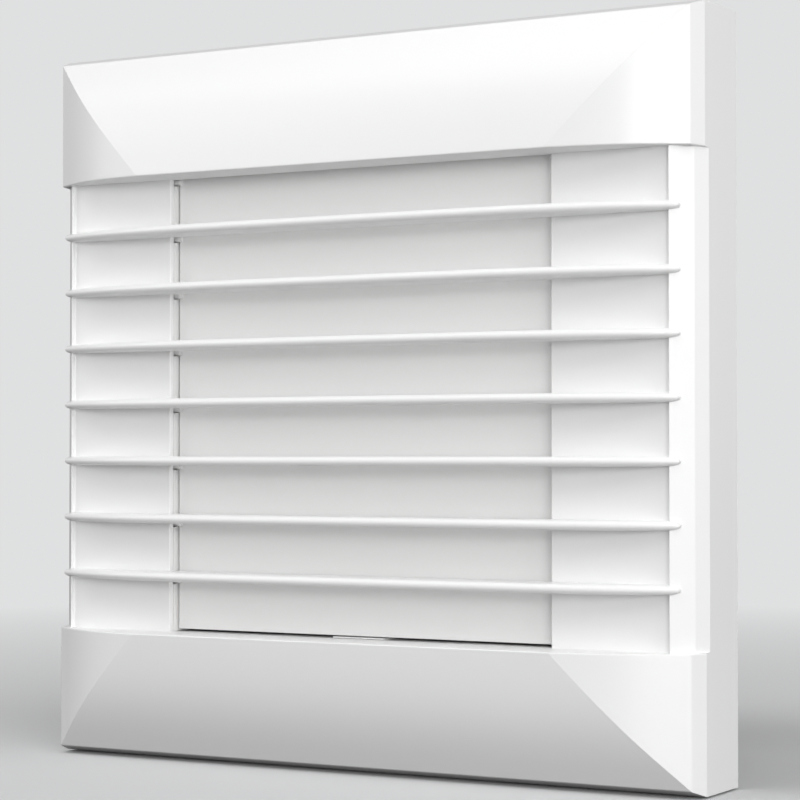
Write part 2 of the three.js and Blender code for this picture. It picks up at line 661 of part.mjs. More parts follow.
// ---------------------------------------------------------------- wiring space in the lower band
const grommet = { bore: 3.2, lip: 1.6, lipThickness: 1.4 };
const terminalLength = 26;
const terminalHeight = 11.5;
const terminalDepth = 11.2;
const caseWall = 1.5;
const caseRoom = { beside: 4, above: 1, front: 2.5 };      // round the terminal block
const caseBottom = innerFloor + gap + grommet.lipThickness + bite;
const terminalBack = plateFront - gap;
const terminalBottom = caseBottom + caseWall + caseRoom.above;
const terminal = {
  x0: entryX - terminalLength / 2, x1: entryX + terminalLength / 2,
  z0: terminalBottom, z1: terminalBottom + terminalHeight, front: terminalBack - terminalDepth,
};
const terminalCase = {
  x0: terminal.x0 - caseRoom.beside, x1: terminal.x1 + caseRoom.beside,
  z0: terminal.z0 - caseRoom.above, z1: terminal.z1 + caseRoom.above,
  front: terminal.front - caseRoom.front,
};
const terminalMiddleZ = (terminal.z0 + terminal.z1) / 2;
const terminalWays = 3;
const wayX = (i) => terminal.x0 + ((terminal.x1 - terminal.x0) * (i + 0.5)) / terminalWays;
const terminalScrew = { radius: 2, length: 2.4, depth: 4 };
const wellRadius = terminalScrew.radius + 0.4;
const leadRoom = 0.5;               // round a lead in a notch of the terminal cover
const supplyRoom = 3;
const actuatorLeadRadius = 1.3;
const actuatorLeadZ = lockBlock.top + actuatorLeadRadius + 1;      // over the lock screw's block
const leadTurnY = (frameFront + sillDepth + plateFront) / 2 + 0.5;

function terminalBlock() {
  const body = box(terminal.x0, terminal.x1, terminal.front, terminalBack, terminal.z0, terminal.z1);
  const wells = repeat(terminalWays, (i) =>
    rod('y', wellRadius, terminal.front - over, terminal.front + terminalScrew.depth + gap,
      wayX(i), terminalMiddleZ, sides.pin));
  return cut(body, ...wells);
}

function terminalCover() {
  const t = terminalCase;
  const w = caseWall;
  const shell = cut(box(t.x0 - w, t.x1 + w, t.front - w, terminalBack, t.z0 - w, t.z1 + w),
    box(t.x0, t.x1, t.front, terminalBack + over, t.z0, t.z1));
  const room = leadRadius + leadRoom;
  const sideRoom = actuatorLeadRadius + leadRoom;
  const leadNotch = box(leadX - room, leadX + room, leadTurnY - room, terminalBack + over,
    t.z1 - over, t.z1 + w + over);
  const sideNotch = box(t.x1 - over, t.x1 + w + over, lockScrewY - sideRoom, terminalBack + over,
    actuatorLeadZ - sideRoom, actuatorLeadZ + sideRoom);
  const supplyNotch = box(entryX - supplyRoom, entryX + supplyRoom, entryY - supplyRoom,
    terminalBack + over, t.z0 - w - over, t.z0 + 1);
  return cut(shell, leadNotch, sideNotch, supplyNotch);
}

function cableGrommet() {
  const neckRadius = entryRadius - gap;
  const seat = innerFloor + gap;
  const body = join(rod('z', neckRadius, gap - half, seat + over, entryX, entryY),
    rod('z', neckRadius + grommet.lip, seat, seat + grommet.lipThickness, entryX, entryY));
  const bore = rod('z', grommet.bore, -half - over, seat + grommet.lipThickness + over, entryX, entryY);
  return cut(body, bore);
}

function wire(points, radius, steps) {
  const curve = new THREE.CatmullRomCurve3(points.map((p) => new THREE.Vector3(...p)));
  const section = new THREE.Shape().absarc(0, 0, radius, 0, 2 * Math.PI);
  return solid(new THREE.ExtrudeGeometry(section, {
    extrudePath: curve, steps, curveSegments: 4, bevelEnabled: false,
  }));
}

const wiring = assembly();
piece(wiring, 'terminal_block', terminalBlock(), greyPlastic());
const terminalScrewBack = terminal.front + terminalScrew.depth;
pieces(wiring, 'terminal_screw', repeat(terminalWays, wayX), (x) => rod('y', terminalScrew.radius,
  terminalScrewBack - terminalScrew.length, terminalScrewBack, x, terminalMiddleZ, sides.pin), brass());
piece(wiring, 'terminal_cover', terminalCover(), whiteSatin());
piece(wiring, 'cable_grommet', cableGrommet(), rubber());

// ---------------------------------------------------------------- motor
const shellBore = motorRadius - motorWall;
const shellSplit = motorFront + motorLength / 2;
const pocketRadius = bearingRadius + gap;
const bearingInset = motorWall + gap;
const statorFront = motorFront + statorInset;
const statorBack = motorBack - statorInset;
const rotorRadius = 10;
const statorBore = rotorRadius + 0.5;
const motorScrewCircle = 14;
const motorScrewSpots = repeat(2, (i) => polar(motorScrewCircle, 180 * i));

// half of the motor case, with a collar inside that holds the bearing
function motorShell(wallY, openY, shaftHole) {
  const inward = Math.sign(openY - wallY);
  const at = (d) => wallY + inward * d;
  const span = (a, b) => [Math.min(at(a), at(b)), Math.max(at(a), at(b))];
  const length = Math.abs(openY - wallY);
  const can = cut(rod('y', motorRadius, ...span(0, length), 0, 0, sides.motor),
    rod('y', shellBore, ...span(motorWall, length + 1), 0, 0, sides.motor));
  const collar = cut(
    rod('y', pocketRadius + motorWall, ...span(bite, motorWall + bearingWidth), 0, 0, sides.motor),
    rod('y', pocketRadius, ...span(motorWall, motorWall + bearingWidth + over), 0, 0, sides.motor));
  return cut(join(can, collar), rod('y', shaftHole, ...span(-1, motorWall + 1), 0, 0, sides.round));
}

function motorRearShell() {
  const holes = motorScrewSpots.map(([x, z]) =>
    rod('y', screwRadius + gap, motorBack - 5, motorBack + over, x, z, sides.pin));
  const port = rod('x', leadRadius + gap, shellBore - motorWall, motorRadius + motorWall,
    leadExitY, 0, sides.pin).rotate([0, -leadAngle, 0]);
  return cut(motorShell(motorBack, shellSplit + gap, shaftRadius + gap), ...holes, port);
}

function bearing(front) {
  const inner = shaftRadius + gap / 2;
  return turned([
    [inner, front], [bearingRadius, front],
    [bearingRadius, front + bearingWidth], [inner, front + bearingWidth],
  ], sides.round);
}

const frontBearingAt = motorFront + bearingInset;
const rearBearingAt = motorBack - bearingInset - bearingWidth;
const retainer = { radius: 5, thickness: 1.5 };
const shaftFront = impellerFront - gap - retainer.thickness - 0.8;
const shaftBack = motorBack - gap;

const winding = { reach: 3.2, clearance: 1.1 };
const slotCount = 8;
const slotRadius = 1.4;
const slotCircle = (statorBore + shellBore) / 2 - 1;
const slotSpots = repeat(slotCount, (i) => polar(slotCircle, (360 / slotCount) * (i + 0.5)));

// the wire bundle: a round at each end of the core, joined through its slots
function statorWindings() {
  const { reach, clearance } = winding;
  const ends = [statorFront - gap - reach, statorBack + gap].map((y) =>
    ring(shellBore - clearance, statorBore + clearance, y, y + reach, sides.motor));
  const bundles = slotSpots.map(([x, z]) =>
    rod('y', slotRadius - gap, statorFront - over, statorBack + over, x, z, sides.pin));
  return join(...ends, ...bundles);
}

function statorCore() {
  const slots = slotSpots.map(([x, z]) =>
    rod('y', slotRadius, statorFront - over, statorBack + over, x, z, sides.pin));
  return cut(ring(shellBore - gap, statorBore, statorFront, statorBack, sides.motor), ...slots);
}

const motor = assembly();
piece(motor, 'motor_front_shell', motorShell(motorFront, shellSplit, shaftRadius + gap), motorSteel());
piece(motor, 'motor_rear_shell', motorRearShell(), motorSteel());
piece(motor, 'stator_core', statorCore(), lamination());
piece(motor, 'stator_windings', statorWindings(), copper());
piece(motor, 'front_bearing', bearing(frontBearingAt), steel());
piece(motor, 'rear_bearing', bearing(rearBearingAt), steel());

const rotorGroup = assembly();
piece(rotorGroup, 'motor_shaft', rod('y', shaftRadius, shaftFront, shaftBack, 0, 0, sides.round), steel());
piece(rotorGroup, 'rotor_core', ring(
  rotorRadius, shaftRadius + gap, statorFront - over, statorBack + over, sides.motor), lamination());

// ---------------------------------------------------------------- motor bracket in the duct
function motorBracket() {
  const y0 = motorBack + gap;
  const y1 = y0 + bracketThickness;
  const disc = rod('y', motorRadius, y0, y1, 0, 0, sides.motor);
  const arm = box(motorRadius - over, padCircle, y0, y1, -bracketArmWidth / 2, bracketArmWidth / 2);
  const arms = repeat(bracketArmCount, (i) =>
    arm.rotate([0, -(armAngle + (360 / bracketArmCount) * i), 0]));
  const ends = padSpots.map(([x, z]) => rod('y', bracketPadRadius, y0, y1, x, z));
  const holes = [...padSpots, ...motorScrewSpots].map(([x, z]) =>
    rod('y', screwRadius + gap, y0 - over, y1 + over, x, z, sides.pin));
  return cut(join(disc, ...arms, ...ends), ...holes);
}
piece(motor, 'motor_bracket', motorBracket(), greyPlastic());
pieces(motor, 'bracket_screw', padSpots, ([x, z]) =>
  screwY(x, z, motorBack, padBack - gap), steel());

// these go in from behind, so the screw is turned round
const motorScrewSeat = motorBack + gap + bracketThickness + gap;
pieces(motor, 'motor_screw', motorScrewSpots, ([x, z]) => join(
  rod('y', screwHeadRadius, motorScrewSeat, motorScrewSeat + screwHeadHeight, x, z, sides.pin),
  rod('y', screwRadius, motorBack - 4, motorScrewSeat + over, x, z, sides.pin)), steel());

// ---------------------------------------------------------------- impeller
function blade() {
  const root = hubRadius - bite;
  const length = bladeRadius + 2 - root;
  const g = new THREE.BoxGeometry(length, bladeThickness, bladeChord, 4, 1, 3);
  const p = g.attributes.position;
  for (let i = 0; i < p.count; i += 1) {
    const s = p.getX(i) / length + 0.5;
    const pitch = THREE.MathUtils.degToRad(THREE.MathUtils.lerp(bladeRootPitch, bladeTipPitch, s));
    const chord = p.getZ(i) * THREE.MathUtils.lerp(...bladeTaper, s);
    const across = p.getY(i) + bladeCamber * (1 - (2 * p.getZ(i) / bladeChord) ** 2);
    const sweep = bladeSweep * s * s;
    p.setXYZ(i, root + s * length,
      chord * Math.sin(pitch) + across * Math.cos(pitch),
      chord * Math.cos(pitch) - across * Math.sin(pitch) + sweep);
  }
  const back = impellerFront + impellerDepth;
  return solid(g).translate([0, (impellerFront + back) / 2, 0])
    .intersect(rod('y', bladeRadius, impellerFront, back, 0, 0, sides.duct));
}

function impeller() {
  const back = impellerFront + impellerDepth;
  const bossBack = motorFront - 0.5;
  const bore = shaftRadius + gap / 2;
  const inner = hubRadius - hubWall;
  const hub = turned([
    [bore, impellerFront], [hubRadius - hubChamfer, impellerFront],
    [hubRadius, impellerFront + hubChamfer], [hubRadius, back],
    [inner, back], [inner, impellerFront + hubChamfer + 0.5],
    [hubRadius - hubChamfer - 1, impellerFront + hubWall],
    [hubBossRadius, impellerFront + hubWall], [hubBossRadius, bossBack], [bore, bossBack],
  ], sides.motor);
  return join(hub, ...around(bladeCount, blade()));
}
piece(rotorGroup, 'impeller', impeller(), greyPlastic());
piece(rotorGroup, 'impeller_retainer', ring(retainer.radius, shaftRadius + gap / 2,
  impellerFront - gap - retainer.thickness, impellerFront - gap, sides.round), steel());

// ---------------------------------------------------------------- finger guard at the duct's end
const guardBar = 1.6;
const guardRim = 2.5;
const guardRings = 3;

function fingerGuard() {
  const y1 = tubeLength;
  const y0 = y1 - guardBar;
  const rimOuter = tubeBore - gap;
  const rings = repeat(guardRings, (i) => {
    const r = (rimOuter * (i + 1)) / (guardRings + 1);
    return ring(r + guardBar / 2, r - guardBar / 2, y0, y1, sides.round);
  });
  const bars = repeat(3, (i) => box(over - rimOuter, rimOuter - over, y0, y1, -guardBar / 2, guardBar / 2)
    .rotate([0, 60 * i, 0]));
  return join(ring(rimOuter, rimOuter - guardRim, y0, y1, sides.duct), ...rings, ...bars);
}
piece(housing, 'finger_guard', fingerGuard(), darkPlastic());

// ---------------------------------------------------------------- outer side of the pane
const nutHeight = 3.2;
const bossHeight = 4;
const bossRadius = 4.4;
const louvreCount = 6;
const louvreDepth = 11;
const louvreTilt = 38;
const louvreWall = 1.4;

function outerShroud() {
  const w = shroudWall;
  const bore = tubeRadius + shroudClearance;
  const wide = shroudEndRadius + shroudTaper;
  const shell = turned([
    [bore, flangeFront], [flangeRadius, flangeFront], [flangeRadius, flangeBack],
    [wide, flangeBack], [shroudEndRadius, shroudLength], [shroudEndRadius - w, shroudLength],
    [shroudEndRadius - w, shroudLength - louvreSeat - 1], [wide - w, flangeBack], [bore, flangeBack],
  ], sides.duct);
  const bosses = clampSpots.map(([x, z]) =>
    rod('y', bossRadius, flangeBack - over, flangeBack + bossHeight, x, z, sides.small));
  const tubeRoom = rod('y', bore, flangeFront - over, flangeBack + bossHeight + over, 0, 0, sides.duct);
  const holes = clampSpots.map(([x, z]) =>
    rod('y', clampScrewRadius + gap, flangeFront - over, flangeBack + bossHeight + over, x, z, sides.pin));
  const leadHole = rod('y', leadRadius + leadSlack, flangeFront - over, flangeBack + over,
    leadX, leadZ, sides.pin);
  return cut(join(shell, ...bosses), tubeRoom, leadHole, ...holes);
}

function weatherLouvre() {
  const outer = shroudEndRadius - shroudWall - gap;
  const front = shroudLength - louvreSeat;
  const rimRing = ring(outer, outer - 2, front, shroudLength, sides.duct);
  const bore = rod('y', outer - over, front, shroudLength, 0, 0, sides.duct);
  const blades = repeat(louvreCount, (i) => {
    const z = -outer + (2 * outer * (i + 0.5)) / louvreCount;
    return box(-outer, outer, -louvreDepth / 2, louvreDepth / 2, -louvreWall / 2, louvreWall / 2)
      .rotate([-louvreTilt, 0, 0]).translate([0, (front + shroudLength) / 2, z]);
  });
  return join(rimRing, join(...blades).intersect(bore));
}

const outside = assembly();
piece(outside, 'outer_gasket', ring(flangeRadius, gasketInnerRadius,
  outerGasketFront, outerGasketFront + gasketThickness, sides.gasket), foam());
piece(outside, 'outer_shroud', outerShroud(), whiteSatin());
piece(outside, 'weather_louvre', weatherLouvre(), whiteSatin());

const nutFront = flangeBack + bossHeight + gap;
const nutRadius = 3.7;
const screwBeyondNut = 2;
pieces(outside, 'clamp_screw', clampSpots, ([x, z]) => screwY(x, z, plateFront - gap,
  nutFront + nutHeight + screwBeyondNut, clampScrewRadius, clampHead.radius, clampHead.height), steel());
pieces(outside, 'clamp_nut', clampSpots, ([x, z]) => cut(
  rod('y', nutRadius, nutFront, nutFront + nutHeight, x, z, 6),
  rod('y', clampScrewRadius + gap / 2, nutFront - over, nutFront + nutHeight + over,
    x, z, sides.pin)), steel());

// ---------------------------------------------------------------- leads inside the case
const onCircle = (radius, y) => {
  const [x, z] = polar(radius, leadAngle);
  return [x, y, z];
};
const acrossDuct = [0.25, 0.53, 0.82, 0.98].map((share) =>
  onCircle(THREE.MathUtils.lerp(motorRadius, tubeBore, share), leadExitY));
const downBehindSill = [0.5, 0.9, 1].map((share) =>
  [leadX, leadTurnY, THREE.MathUtils.lerp(leadZ, terminal.z1 + gap, share)]);
piece(wiring, 'motor_lead', wire([
  onCircle(motorRadius - motorWall - 0.5, leadExitY), ...acrossDuct,
  onCircle(leadCircle - leadRadius, leadExitY - 1), onCircle(leadCircle, leadExitY - 3.5),
  ...[flangeBack + 5, paneThickness * 0.75, paneThickness * 0.1, plateBack].map((y) =>
    onCircle(leadCircle, y)),
  [leadX, plateFront - 1.5, leadZ - 0.4], [leadX, leadTurnY + 0.6, leadZ - 2.4], ...downBehindSill,
], leadRadius, 34), darkPlastic());

const leadStartX = actuatorX - actuatorRadius - gap;
const leadEndX = terminal.x1 + gap;
const alongFloor = (share) => THREE.MathUtils.lerp(leadStartX, leadEndX, share);
piece(wiring, 'actuator_lead', wire([
  [leadStartX, actuatorY, actuatorLeadZ], [alongFloor(0.1), actuatorY + 0.6, actuatorLeadZ],
  [alongFloor(0.25), (actuatorY + lockScrewY) / 2, actuatorLeadZ],
  ...[0.42, 0.68, 0.85, 1].map((share) => [alongFloor(share), lockScrewY, actuatorLeadZ]),
], actuatorLeadRadius, 20), darkPlastic());

export default fan;
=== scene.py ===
import json
import math

import bpy
from mathutils import Matrix, Vector


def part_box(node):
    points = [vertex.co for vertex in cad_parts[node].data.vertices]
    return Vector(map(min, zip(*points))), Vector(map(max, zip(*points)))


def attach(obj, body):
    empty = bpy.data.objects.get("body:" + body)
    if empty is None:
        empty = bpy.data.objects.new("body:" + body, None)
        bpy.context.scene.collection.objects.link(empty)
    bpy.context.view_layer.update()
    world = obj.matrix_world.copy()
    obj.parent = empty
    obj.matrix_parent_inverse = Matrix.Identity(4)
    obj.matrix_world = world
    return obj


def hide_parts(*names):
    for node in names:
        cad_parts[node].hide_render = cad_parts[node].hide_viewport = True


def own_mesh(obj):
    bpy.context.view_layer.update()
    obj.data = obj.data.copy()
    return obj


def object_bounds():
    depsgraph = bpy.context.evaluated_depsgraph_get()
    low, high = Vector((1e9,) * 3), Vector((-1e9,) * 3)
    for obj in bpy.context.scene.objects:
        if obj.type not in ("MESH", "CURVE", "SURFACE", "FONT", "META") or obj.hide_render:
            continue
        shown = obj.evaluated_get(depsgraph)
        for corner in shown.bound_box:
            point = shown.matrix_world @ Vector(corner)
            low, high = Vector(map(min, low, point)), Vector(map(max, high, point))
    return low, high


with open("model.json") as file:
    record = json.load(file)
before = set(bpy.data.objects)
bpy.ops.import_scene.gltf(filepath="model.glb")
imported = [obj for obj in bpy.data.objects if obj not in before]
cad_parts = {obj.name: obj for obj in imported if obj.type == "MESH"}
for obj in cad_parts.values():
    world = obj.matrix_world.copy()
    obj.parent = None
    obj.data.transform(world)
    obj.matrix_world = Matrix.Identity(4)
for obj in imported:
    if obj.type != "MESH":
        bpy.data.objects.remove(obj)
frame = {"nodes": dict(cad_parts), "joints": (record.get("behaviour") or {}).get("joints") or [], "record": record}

bl_info = {
    "name": "Window Exhaust Fan",
    "version": (1, 0, 0),
    "blender": (4, 5, 0),
    "location": "View3D > Sidebar > Exhaust Fan",
    "description": "Builds a window exhaust fan round its packed CAD frame",
    "category": "Object",
}

MM = 0.001
SCREW_HOLE, CLAMP_HOLE, LEAD_HOLE = 1.8 * MM, 2.3 * MM, 2.6 * MM
PLATE_FRONT, PLATE_BACK = -5 * MM, -2.3 * MM
LEAD_CIRCLE, LEAD_TURN = 65, -112      # where the lead passes the plate, in millimetres and degrees
CAD_BOX = [list(corner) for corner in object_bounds()]
PIVOTS = [Vector(j["pos_m"]) for j in frame["joints"] if j["name"].startswith("flap_")]


def low(node):
    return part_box(node)[0]


def high(node):
    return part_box(node)[1]


def centre(node):
    return (low(node) + high(node)) / 2


# ---------------------------------------------------------------- sizes and colours
def length(name, description, default):
    return bpy.props.FloatProperty(name=name, description=description, default=default * MM,
                                   min=0.0, subtype="DISTANCE", unit="LENGTH", precision=5)


def angle(name, description, degrees):
    return bpy.props.FloatProperty(name=name, description=description, default=math.radians(degrees),
                                   subtype="ANGLE", unit="ROTATION")


def colour(name, description, default):
    return bpy.props.FloatVectorProperty(name=name, description=description, default=default,
                                         size=3, min=0.0, max=1.0, subtype="COLOR")


def share(name, description, default, top=1.0):
    return bpy.props.FloatProperty(name=name, description=description, default=default,
                                   min=0.0, max=top, subtype="FACTOR")


def watts(name, description, default):
    return bpy.props.FloatProperty(name=name, description=description + ", in watts",
                                   default=default, min=0.0)


class CoverSizes(bpy.types.PropertyGroup):
    wall: length("Wall", "Wall thickness of the moulded cover", 2)
    side_depth: length("Side Depth", "Straight side wall, from the pane to the rim", 19.5)
    upper_band: length("Upper Band", "Height of the band over the slats", 35.2)
    lower_band: length("Lower Band", "Height of the band under the slats", 34.1)
    chamfer_run: length("Chamfer Run", "Sloping strip round a band, inward from the side wall", 1.65)
    chamfer_rise: length("Chamfer Rise", "The same strip, forward from the rim", 5.2)
    shoulder_run: length("Shoulder Run", "Start of a band's curved face, inward from the side wall", 4)
    shoulder_rise: length("Shoulder Rise", "Start of that face, forward from the rim", 6.6)
    band_rise: length("Band Rise", "Forward from the rim at a band's inner lip", 16.75)
    wing_rise: length("Wing Rise", "Flat wing beside the opening, forward from the rim", 5.7)
    wing_wall: length("Wing Wall", "Thickness of a wing", 1.5)
    rim_width: length("Rim Width", "Raised rim outside each wing", 6.6)
    rim_rise: length("Rim Rise", "Inner edge of that rim, forward from the side wall's rim", 7.4)
    strip_back: length("Strip Back", "Sloping strip beside the wings: its start behind the rim plane", 2.2)
    strip_run: length("Strip Run", "The same strip, inward from the side wall", 1.9)
    strip_rise: length("Strip Rise", "The same strip, forward from the rim", 2.1)
    opening_half: length("Opening Half Width", "Half the width of the shuttered opening", 56.7)
    shelf_back: length("Lip Depth", "Back of the bands' lips, in front of the pane", 24.1)
    edge_radius: length("Edge Radius", "Small radius that moulding leaves on an edge", 0.4)


class SlatSizes(bpy.types.PropertyGroup):
    thickness: length("Thickness", "Thickness of a slat", 2.4)
    middle_rise: length("Middle Rise", "Front edge at the middle, forward from the rim", 16)
    tip_rise: length("Tip Rise", "Front edge at the tips, forward from the rim", 7)
    tip_inset: length("Tip Inset", "How far the tips stop inside the side walls", 4)
    back_rise: length("Back Rise", "Back edge, forward from the rim", 5.4)
    above_pivot: length("Above Pivot", "Middle of a slat over the flap pivot behind it", 1.25)
    power: bpy.props.IntProperty(name="Curve Power", description="How late the front edge turns back",
                                 default=5, min=2)


class FlapSizes(bpy.types.PropertyGroup):
    thickness: length("Thickness", "Thickness of a flap", 1.4)
    face: length("Face Behind Pivot", "Front face behind the pivot axis", 0.4)
    above_pivot: length("Above Pivot", "Top edge over the pivot axis", 1.8)
    side_gap: length("Side Gap", "Gap between a flap's end and the opening's side", 0.6)
    gap: length("Gap", "Gap between two closed flaps", 0.3)
    lap: length("Lap", "How far a flap reaches down behind the next", 0.8)
    lap_thickness: length("Lap Thickness", "Thickness of each half where two flaps lap", 0.55)
    pin: length("Pin Radius", "Radius of the pivot pins", 0.9)
    knuckle: length("Knuckle Radius", "Thickening round a pin at each end of the flap", 1)
    knuckle_length: length("Knuckle Length", "Length of that thickening", 0.8)
    crank: length("Crank Length", "Pivot to crank pin", 7)
    crank_width: length("Crank Width", "Width of the crank arm", 2.6)
    crank_thickness: length("Crank Thickness", "Thickness of the crank arm", 2)
    crank_pin: length("Crank Pin Radius", "Radius of the crank pin", 1.2)
    swing: angle("Swing", "Angle from closed to open", 80)


class CaseSizes(bpy.types.PropertyGroup):
    duct: length("Duct Radius", "Outer radius of the duct", 62.5)
    duct_wall: length("Duct Wall", "Wall of the duct and the shroud", 2)
    shroud_bore: length("Shroud Bore", "Radius of the shroud's hole round the duct", 63.2)
    shroud_wide: length("Shroud Front Radius", "Radius of the shroud behind its flange", 77.5)
    shroud_end: length("Shroud End Radius", "Radius of the shroud's end", 66.5)
    clamp_circle: length("Clamp Circle", "Radius of the circle of the three clamp screws", 66.5)
    pad_circle: length("Pad Circle", "Radius of the circle of the motor bracket's screws", 55.7)
    louvre_pitch: length("Louvre Pitch", "From one louvre blade to the next", 21.4)
    louvre_depth: length("Louvre Depth", "Depth of a louvre blade", 11)
    louvre_wall: length("Louvre Wall", "Thickness of a louvre blade", 1.4)
    louvre_tilt: angle("Louvre Tilt", "Slope of the louvre blades", 38)
    guard_bar: length("Guard Bar", "Thickness of the finger guard's rings and bars", 1.6)


class RotorSizes(bpy.types.PropertyGroup):
    hub: length("Hub Radius", "Outer radius of the impeller's hub", 24.5)
    hub_wall: length("Hub Wall", "Wall of the hub", 2)
    chamfer: length("Hub Chamfer", "Slope round the hub's front", 3)
    boss: length("Boss Radius", "Boss round the shaft", 6)
    blades: bpy.props.IntProperty(name="Blades", description="Number of blades", default=7, min=2)
    tip: length("Tip Radius", "Radius at the blades' tips", 58)
    blade: length("Blade Thickness", "Greatest thickness of a blade", 1.6)
    chord: length("Blade Chord", "Chord of a blade at the middle of its span", 26)
    camber: length("Camber", "Bulge of a blade", 1.8)
    sweep: length("Sweep", "How far a tip leads its root", 6)
    root_pitch: angle("Root Pitch", "Blade angle at the hub", 46)
    tip_pitch: angle("Tip Pitch", "Blade angle at the tip", 27)


class FanColours(bpy.types.PropertyGroup):
    white_gloss: colour("White Gloss", "Front cover", (0.92, 0.92, 0.92))
    white_satin: colour("White Satin", "Flaps, frame, duct and shroud", (0.9, 0.9, 0.895))
    grey: colour("Grey", "Impeller and motor bracket", (0.23, 0.245, 0.26))
    dark: colour("Dark", "Finger guard and leads", (0.02, 0.021, 0.023))
    steel: colour("Steel", "Screws, shaft and spring", (0.56, 0.57, 0.58))
    motor: colour("Motor Steel", "Motor case", (0.4, 0.42, 0.44))
    lamination: colour("Lamination", "Stator and rotor cores", (0.16, 0.165, 0.17))
    copper: colour("Copper", "Windings", (0.5, 0.19, 0.06))
    brass: colour("Brass", "Terminals and actuator body", (0.6, 0.4, 0.14))
    rubber: colour("Rubber", "Cable grommet", (0.018, 0.018, 0.018))
    foam: colour("Foam", "Gaskets", (0.04, 0.042, 0.045))


class StageSettings(bpy.types.PropertyGroup):
    camera: bpy.props.FloatVectorProperty(name="Camera", description="Where the camera stands",
                                          default=(0.32069, -0.55682, -0.01391), size=3,
                                          subtype="TRANSLATION")
    aim: bpy.props.FloatVectorProperty(name="Aim", description="The way the camera looks",
                                       default=(-0.49932, 0.86612, 0.02271), size=3, subtype="DIRECTION")
    lens: bpy.props.FloatProperty(name="Lens", description="Focal length on a 36 mm sensor, in mm",
                                  default=109.31)
    backdrop: colour("Backdrop", "What the camera sees behind the fan", (0.74, 0.745, 0.75))
    floor: colour("Floor", "Colour of the floor round the fan", (0.25, 0.25, 0.25))
    ambient: share("Ambient", "Strength of the even light from all round", 0.31, 4.0)
    away: bpy.props.FloatProperty(name="Lamp Distance", description="From the fan to each lamp",
                                  default=1.6, unit="LENGTH")
    key: watts("Key", "Lamp at the upper right", 5.0)
    right: watts("Right", "Lamp at the right side", 8.2)
    left: watts("Left", "Lamp at the left", 5.2)
    high: watts("High", "Lamp high at the left", 5.0)
    front: watts("Front", "Low lamp beside the camera", 9.2)



GROUPS = {"cover": CoverSizes, "slat": SlatSizes, "flap": FlapSizes, "case": CaseSizes, "rotor": RotorSizes,
          "colours": FanColours, "stage": StageSettings}


def fan():
    return bpy.context.scene.exhaust_fan


# ---------------------------------------------------------------- modelling by hand, in words
def deselect():
    if bpy.context.object and bpy.context.object.mode != "OBJECT":
        bpy.ops.object.mode_set(mode="OBJECT")
    bpy.ops.object.select_all(action="DESELECT")


def only(piece):
    deselect()
    piece.select_set(True)
    bpy.context.view_layer.objects.active = piece
    return piece


def editing(piece, select="SELECT"):
    only(piece)
    bpy.ops.object.mode_set(mode="EDIT")
    bpy.ops.mesh.select_mode(type="VERT")
    bpy.ops.mesh.select_all(action=select)


def added(name):
    piece = bpy.context.object
    piece.name = piece.data.name = name
    bpy.ops.object.transform_apply(location=True, rotation=True, scale=True)
    return piece


def block(name, corner_a, corner_b):
    """A box between two corners."""
    a, b = Vector(corner_a), Vector(corner_b)
    deselect()
    bpy.ops.mesh.primitive_cube_add(size=1, location=(a + b) / 2)
    bpy.context.object.scale = b - a
    return added(name)


TURN = {"x": (0, math.pi / 2, 0), "y": (-math.pi / 2, 0, 0), "z": (0, 0, 0)}


def rod(name, axis, radius, start, end, sides=48):
    """A round bar along x, y or z between two points."""
    a, b = Vector(start), Vector(end)
    deselect()
    bpy.ops.mesh.primitive_cylinder_add(vertices=sides, radius=radius, depth=(b - a).length,
                                        location=(a + b) / 2, rotation=TURN[axis])
    return added(name)


def drawn(name, points, closed=True):
    """An outline drawn from point to point, and filled where it is closed."""
    deselect()
    bpy.ops.mesh.primitive_plane_add(size=MM, location=points[0])
    piece = bpy.context.object
    editing(piece)
    bpy.ops.mesh.merge(type="CENTER")
    for a, b in zip(points, points[1:]):
        bpy.ops.mesh.extrude_region_move(TRANSFORM_OT_translate={"value": Vector(b) - Vector(a)})
    bpy.ops.mesh.select_all(action="SELECT")
    if closed:
        bpy.ops.mesh.edge_face_add()
    bpy.ops.object.mode_set(mode="OBJECT")
    return added(name)


def outward(piece):
    editing(piece)
    bpy.ops.mesh.remove_doubles(threshold=1e-6)
    bpy.ops.mesh.normals_make_consistent(inside=False)
    bpy.ops.object.mode_set(mode="OBJECT")
    return piece


def bezier(controls, count):
    """Points on a curve with three or four controls, without its first point."""
    degree = len(controls) - 1
    made = []
    for i in range(1, count + 1):
        t = i / count
        weights = [math.comb(degree, k) * t ** k * (1 - t) ** (degree - k) for k in range(degree + 1)]
        made.append(tuple(sum(w * c[axis] for w, c in zip(weights, controls)) for axis in (0, 1)))
    return made


def softened(points, radius, closed=True, steps=3, over=8):
    """Rounds the corners of a flat outline that turn by more than a few degrees."""
    made = []
    points = [point for i, point in enumerate(points) if i == 0 or point != points[i - 1]]
    count = len(points)
    for i, point in enumerate(points):
        if not closed and i in (0, count - 1):
            made.append(tuple(point))
            continue
        corner = Vector(point)
        before, after = Vector(points[i - 1]) - corner, Vector(points[(i + 1) % count]) - corner
        turn = math.pi - before.angle(after)
        if turn < math.radians(over):
            made.append(tuple(point))
            continue
        reach = min(radius * math.tan(turn / 2), before.length * 0.45, after.length * 0.45)
        start, end = corner + before.normalized() * reach, corner + after.normalized() * reach
        made += [tuple(start), *bezier([tuple(start), tuple(point), tuple(end)], steps)]
    return made


def metres(*points):
    """Points given in millimetres."""
    return [tuple(value * MM for value in point) for point in points]


def extruded(name, points, push):
    """A closed outline pushed along a vector."""
    piece = drawn(name, points)
    editing(piece)
    bpy.ops.mesh.extrude_region_move(TRANSFORM_OT_translate={"value": Vector(push)})
    return outward(piece)


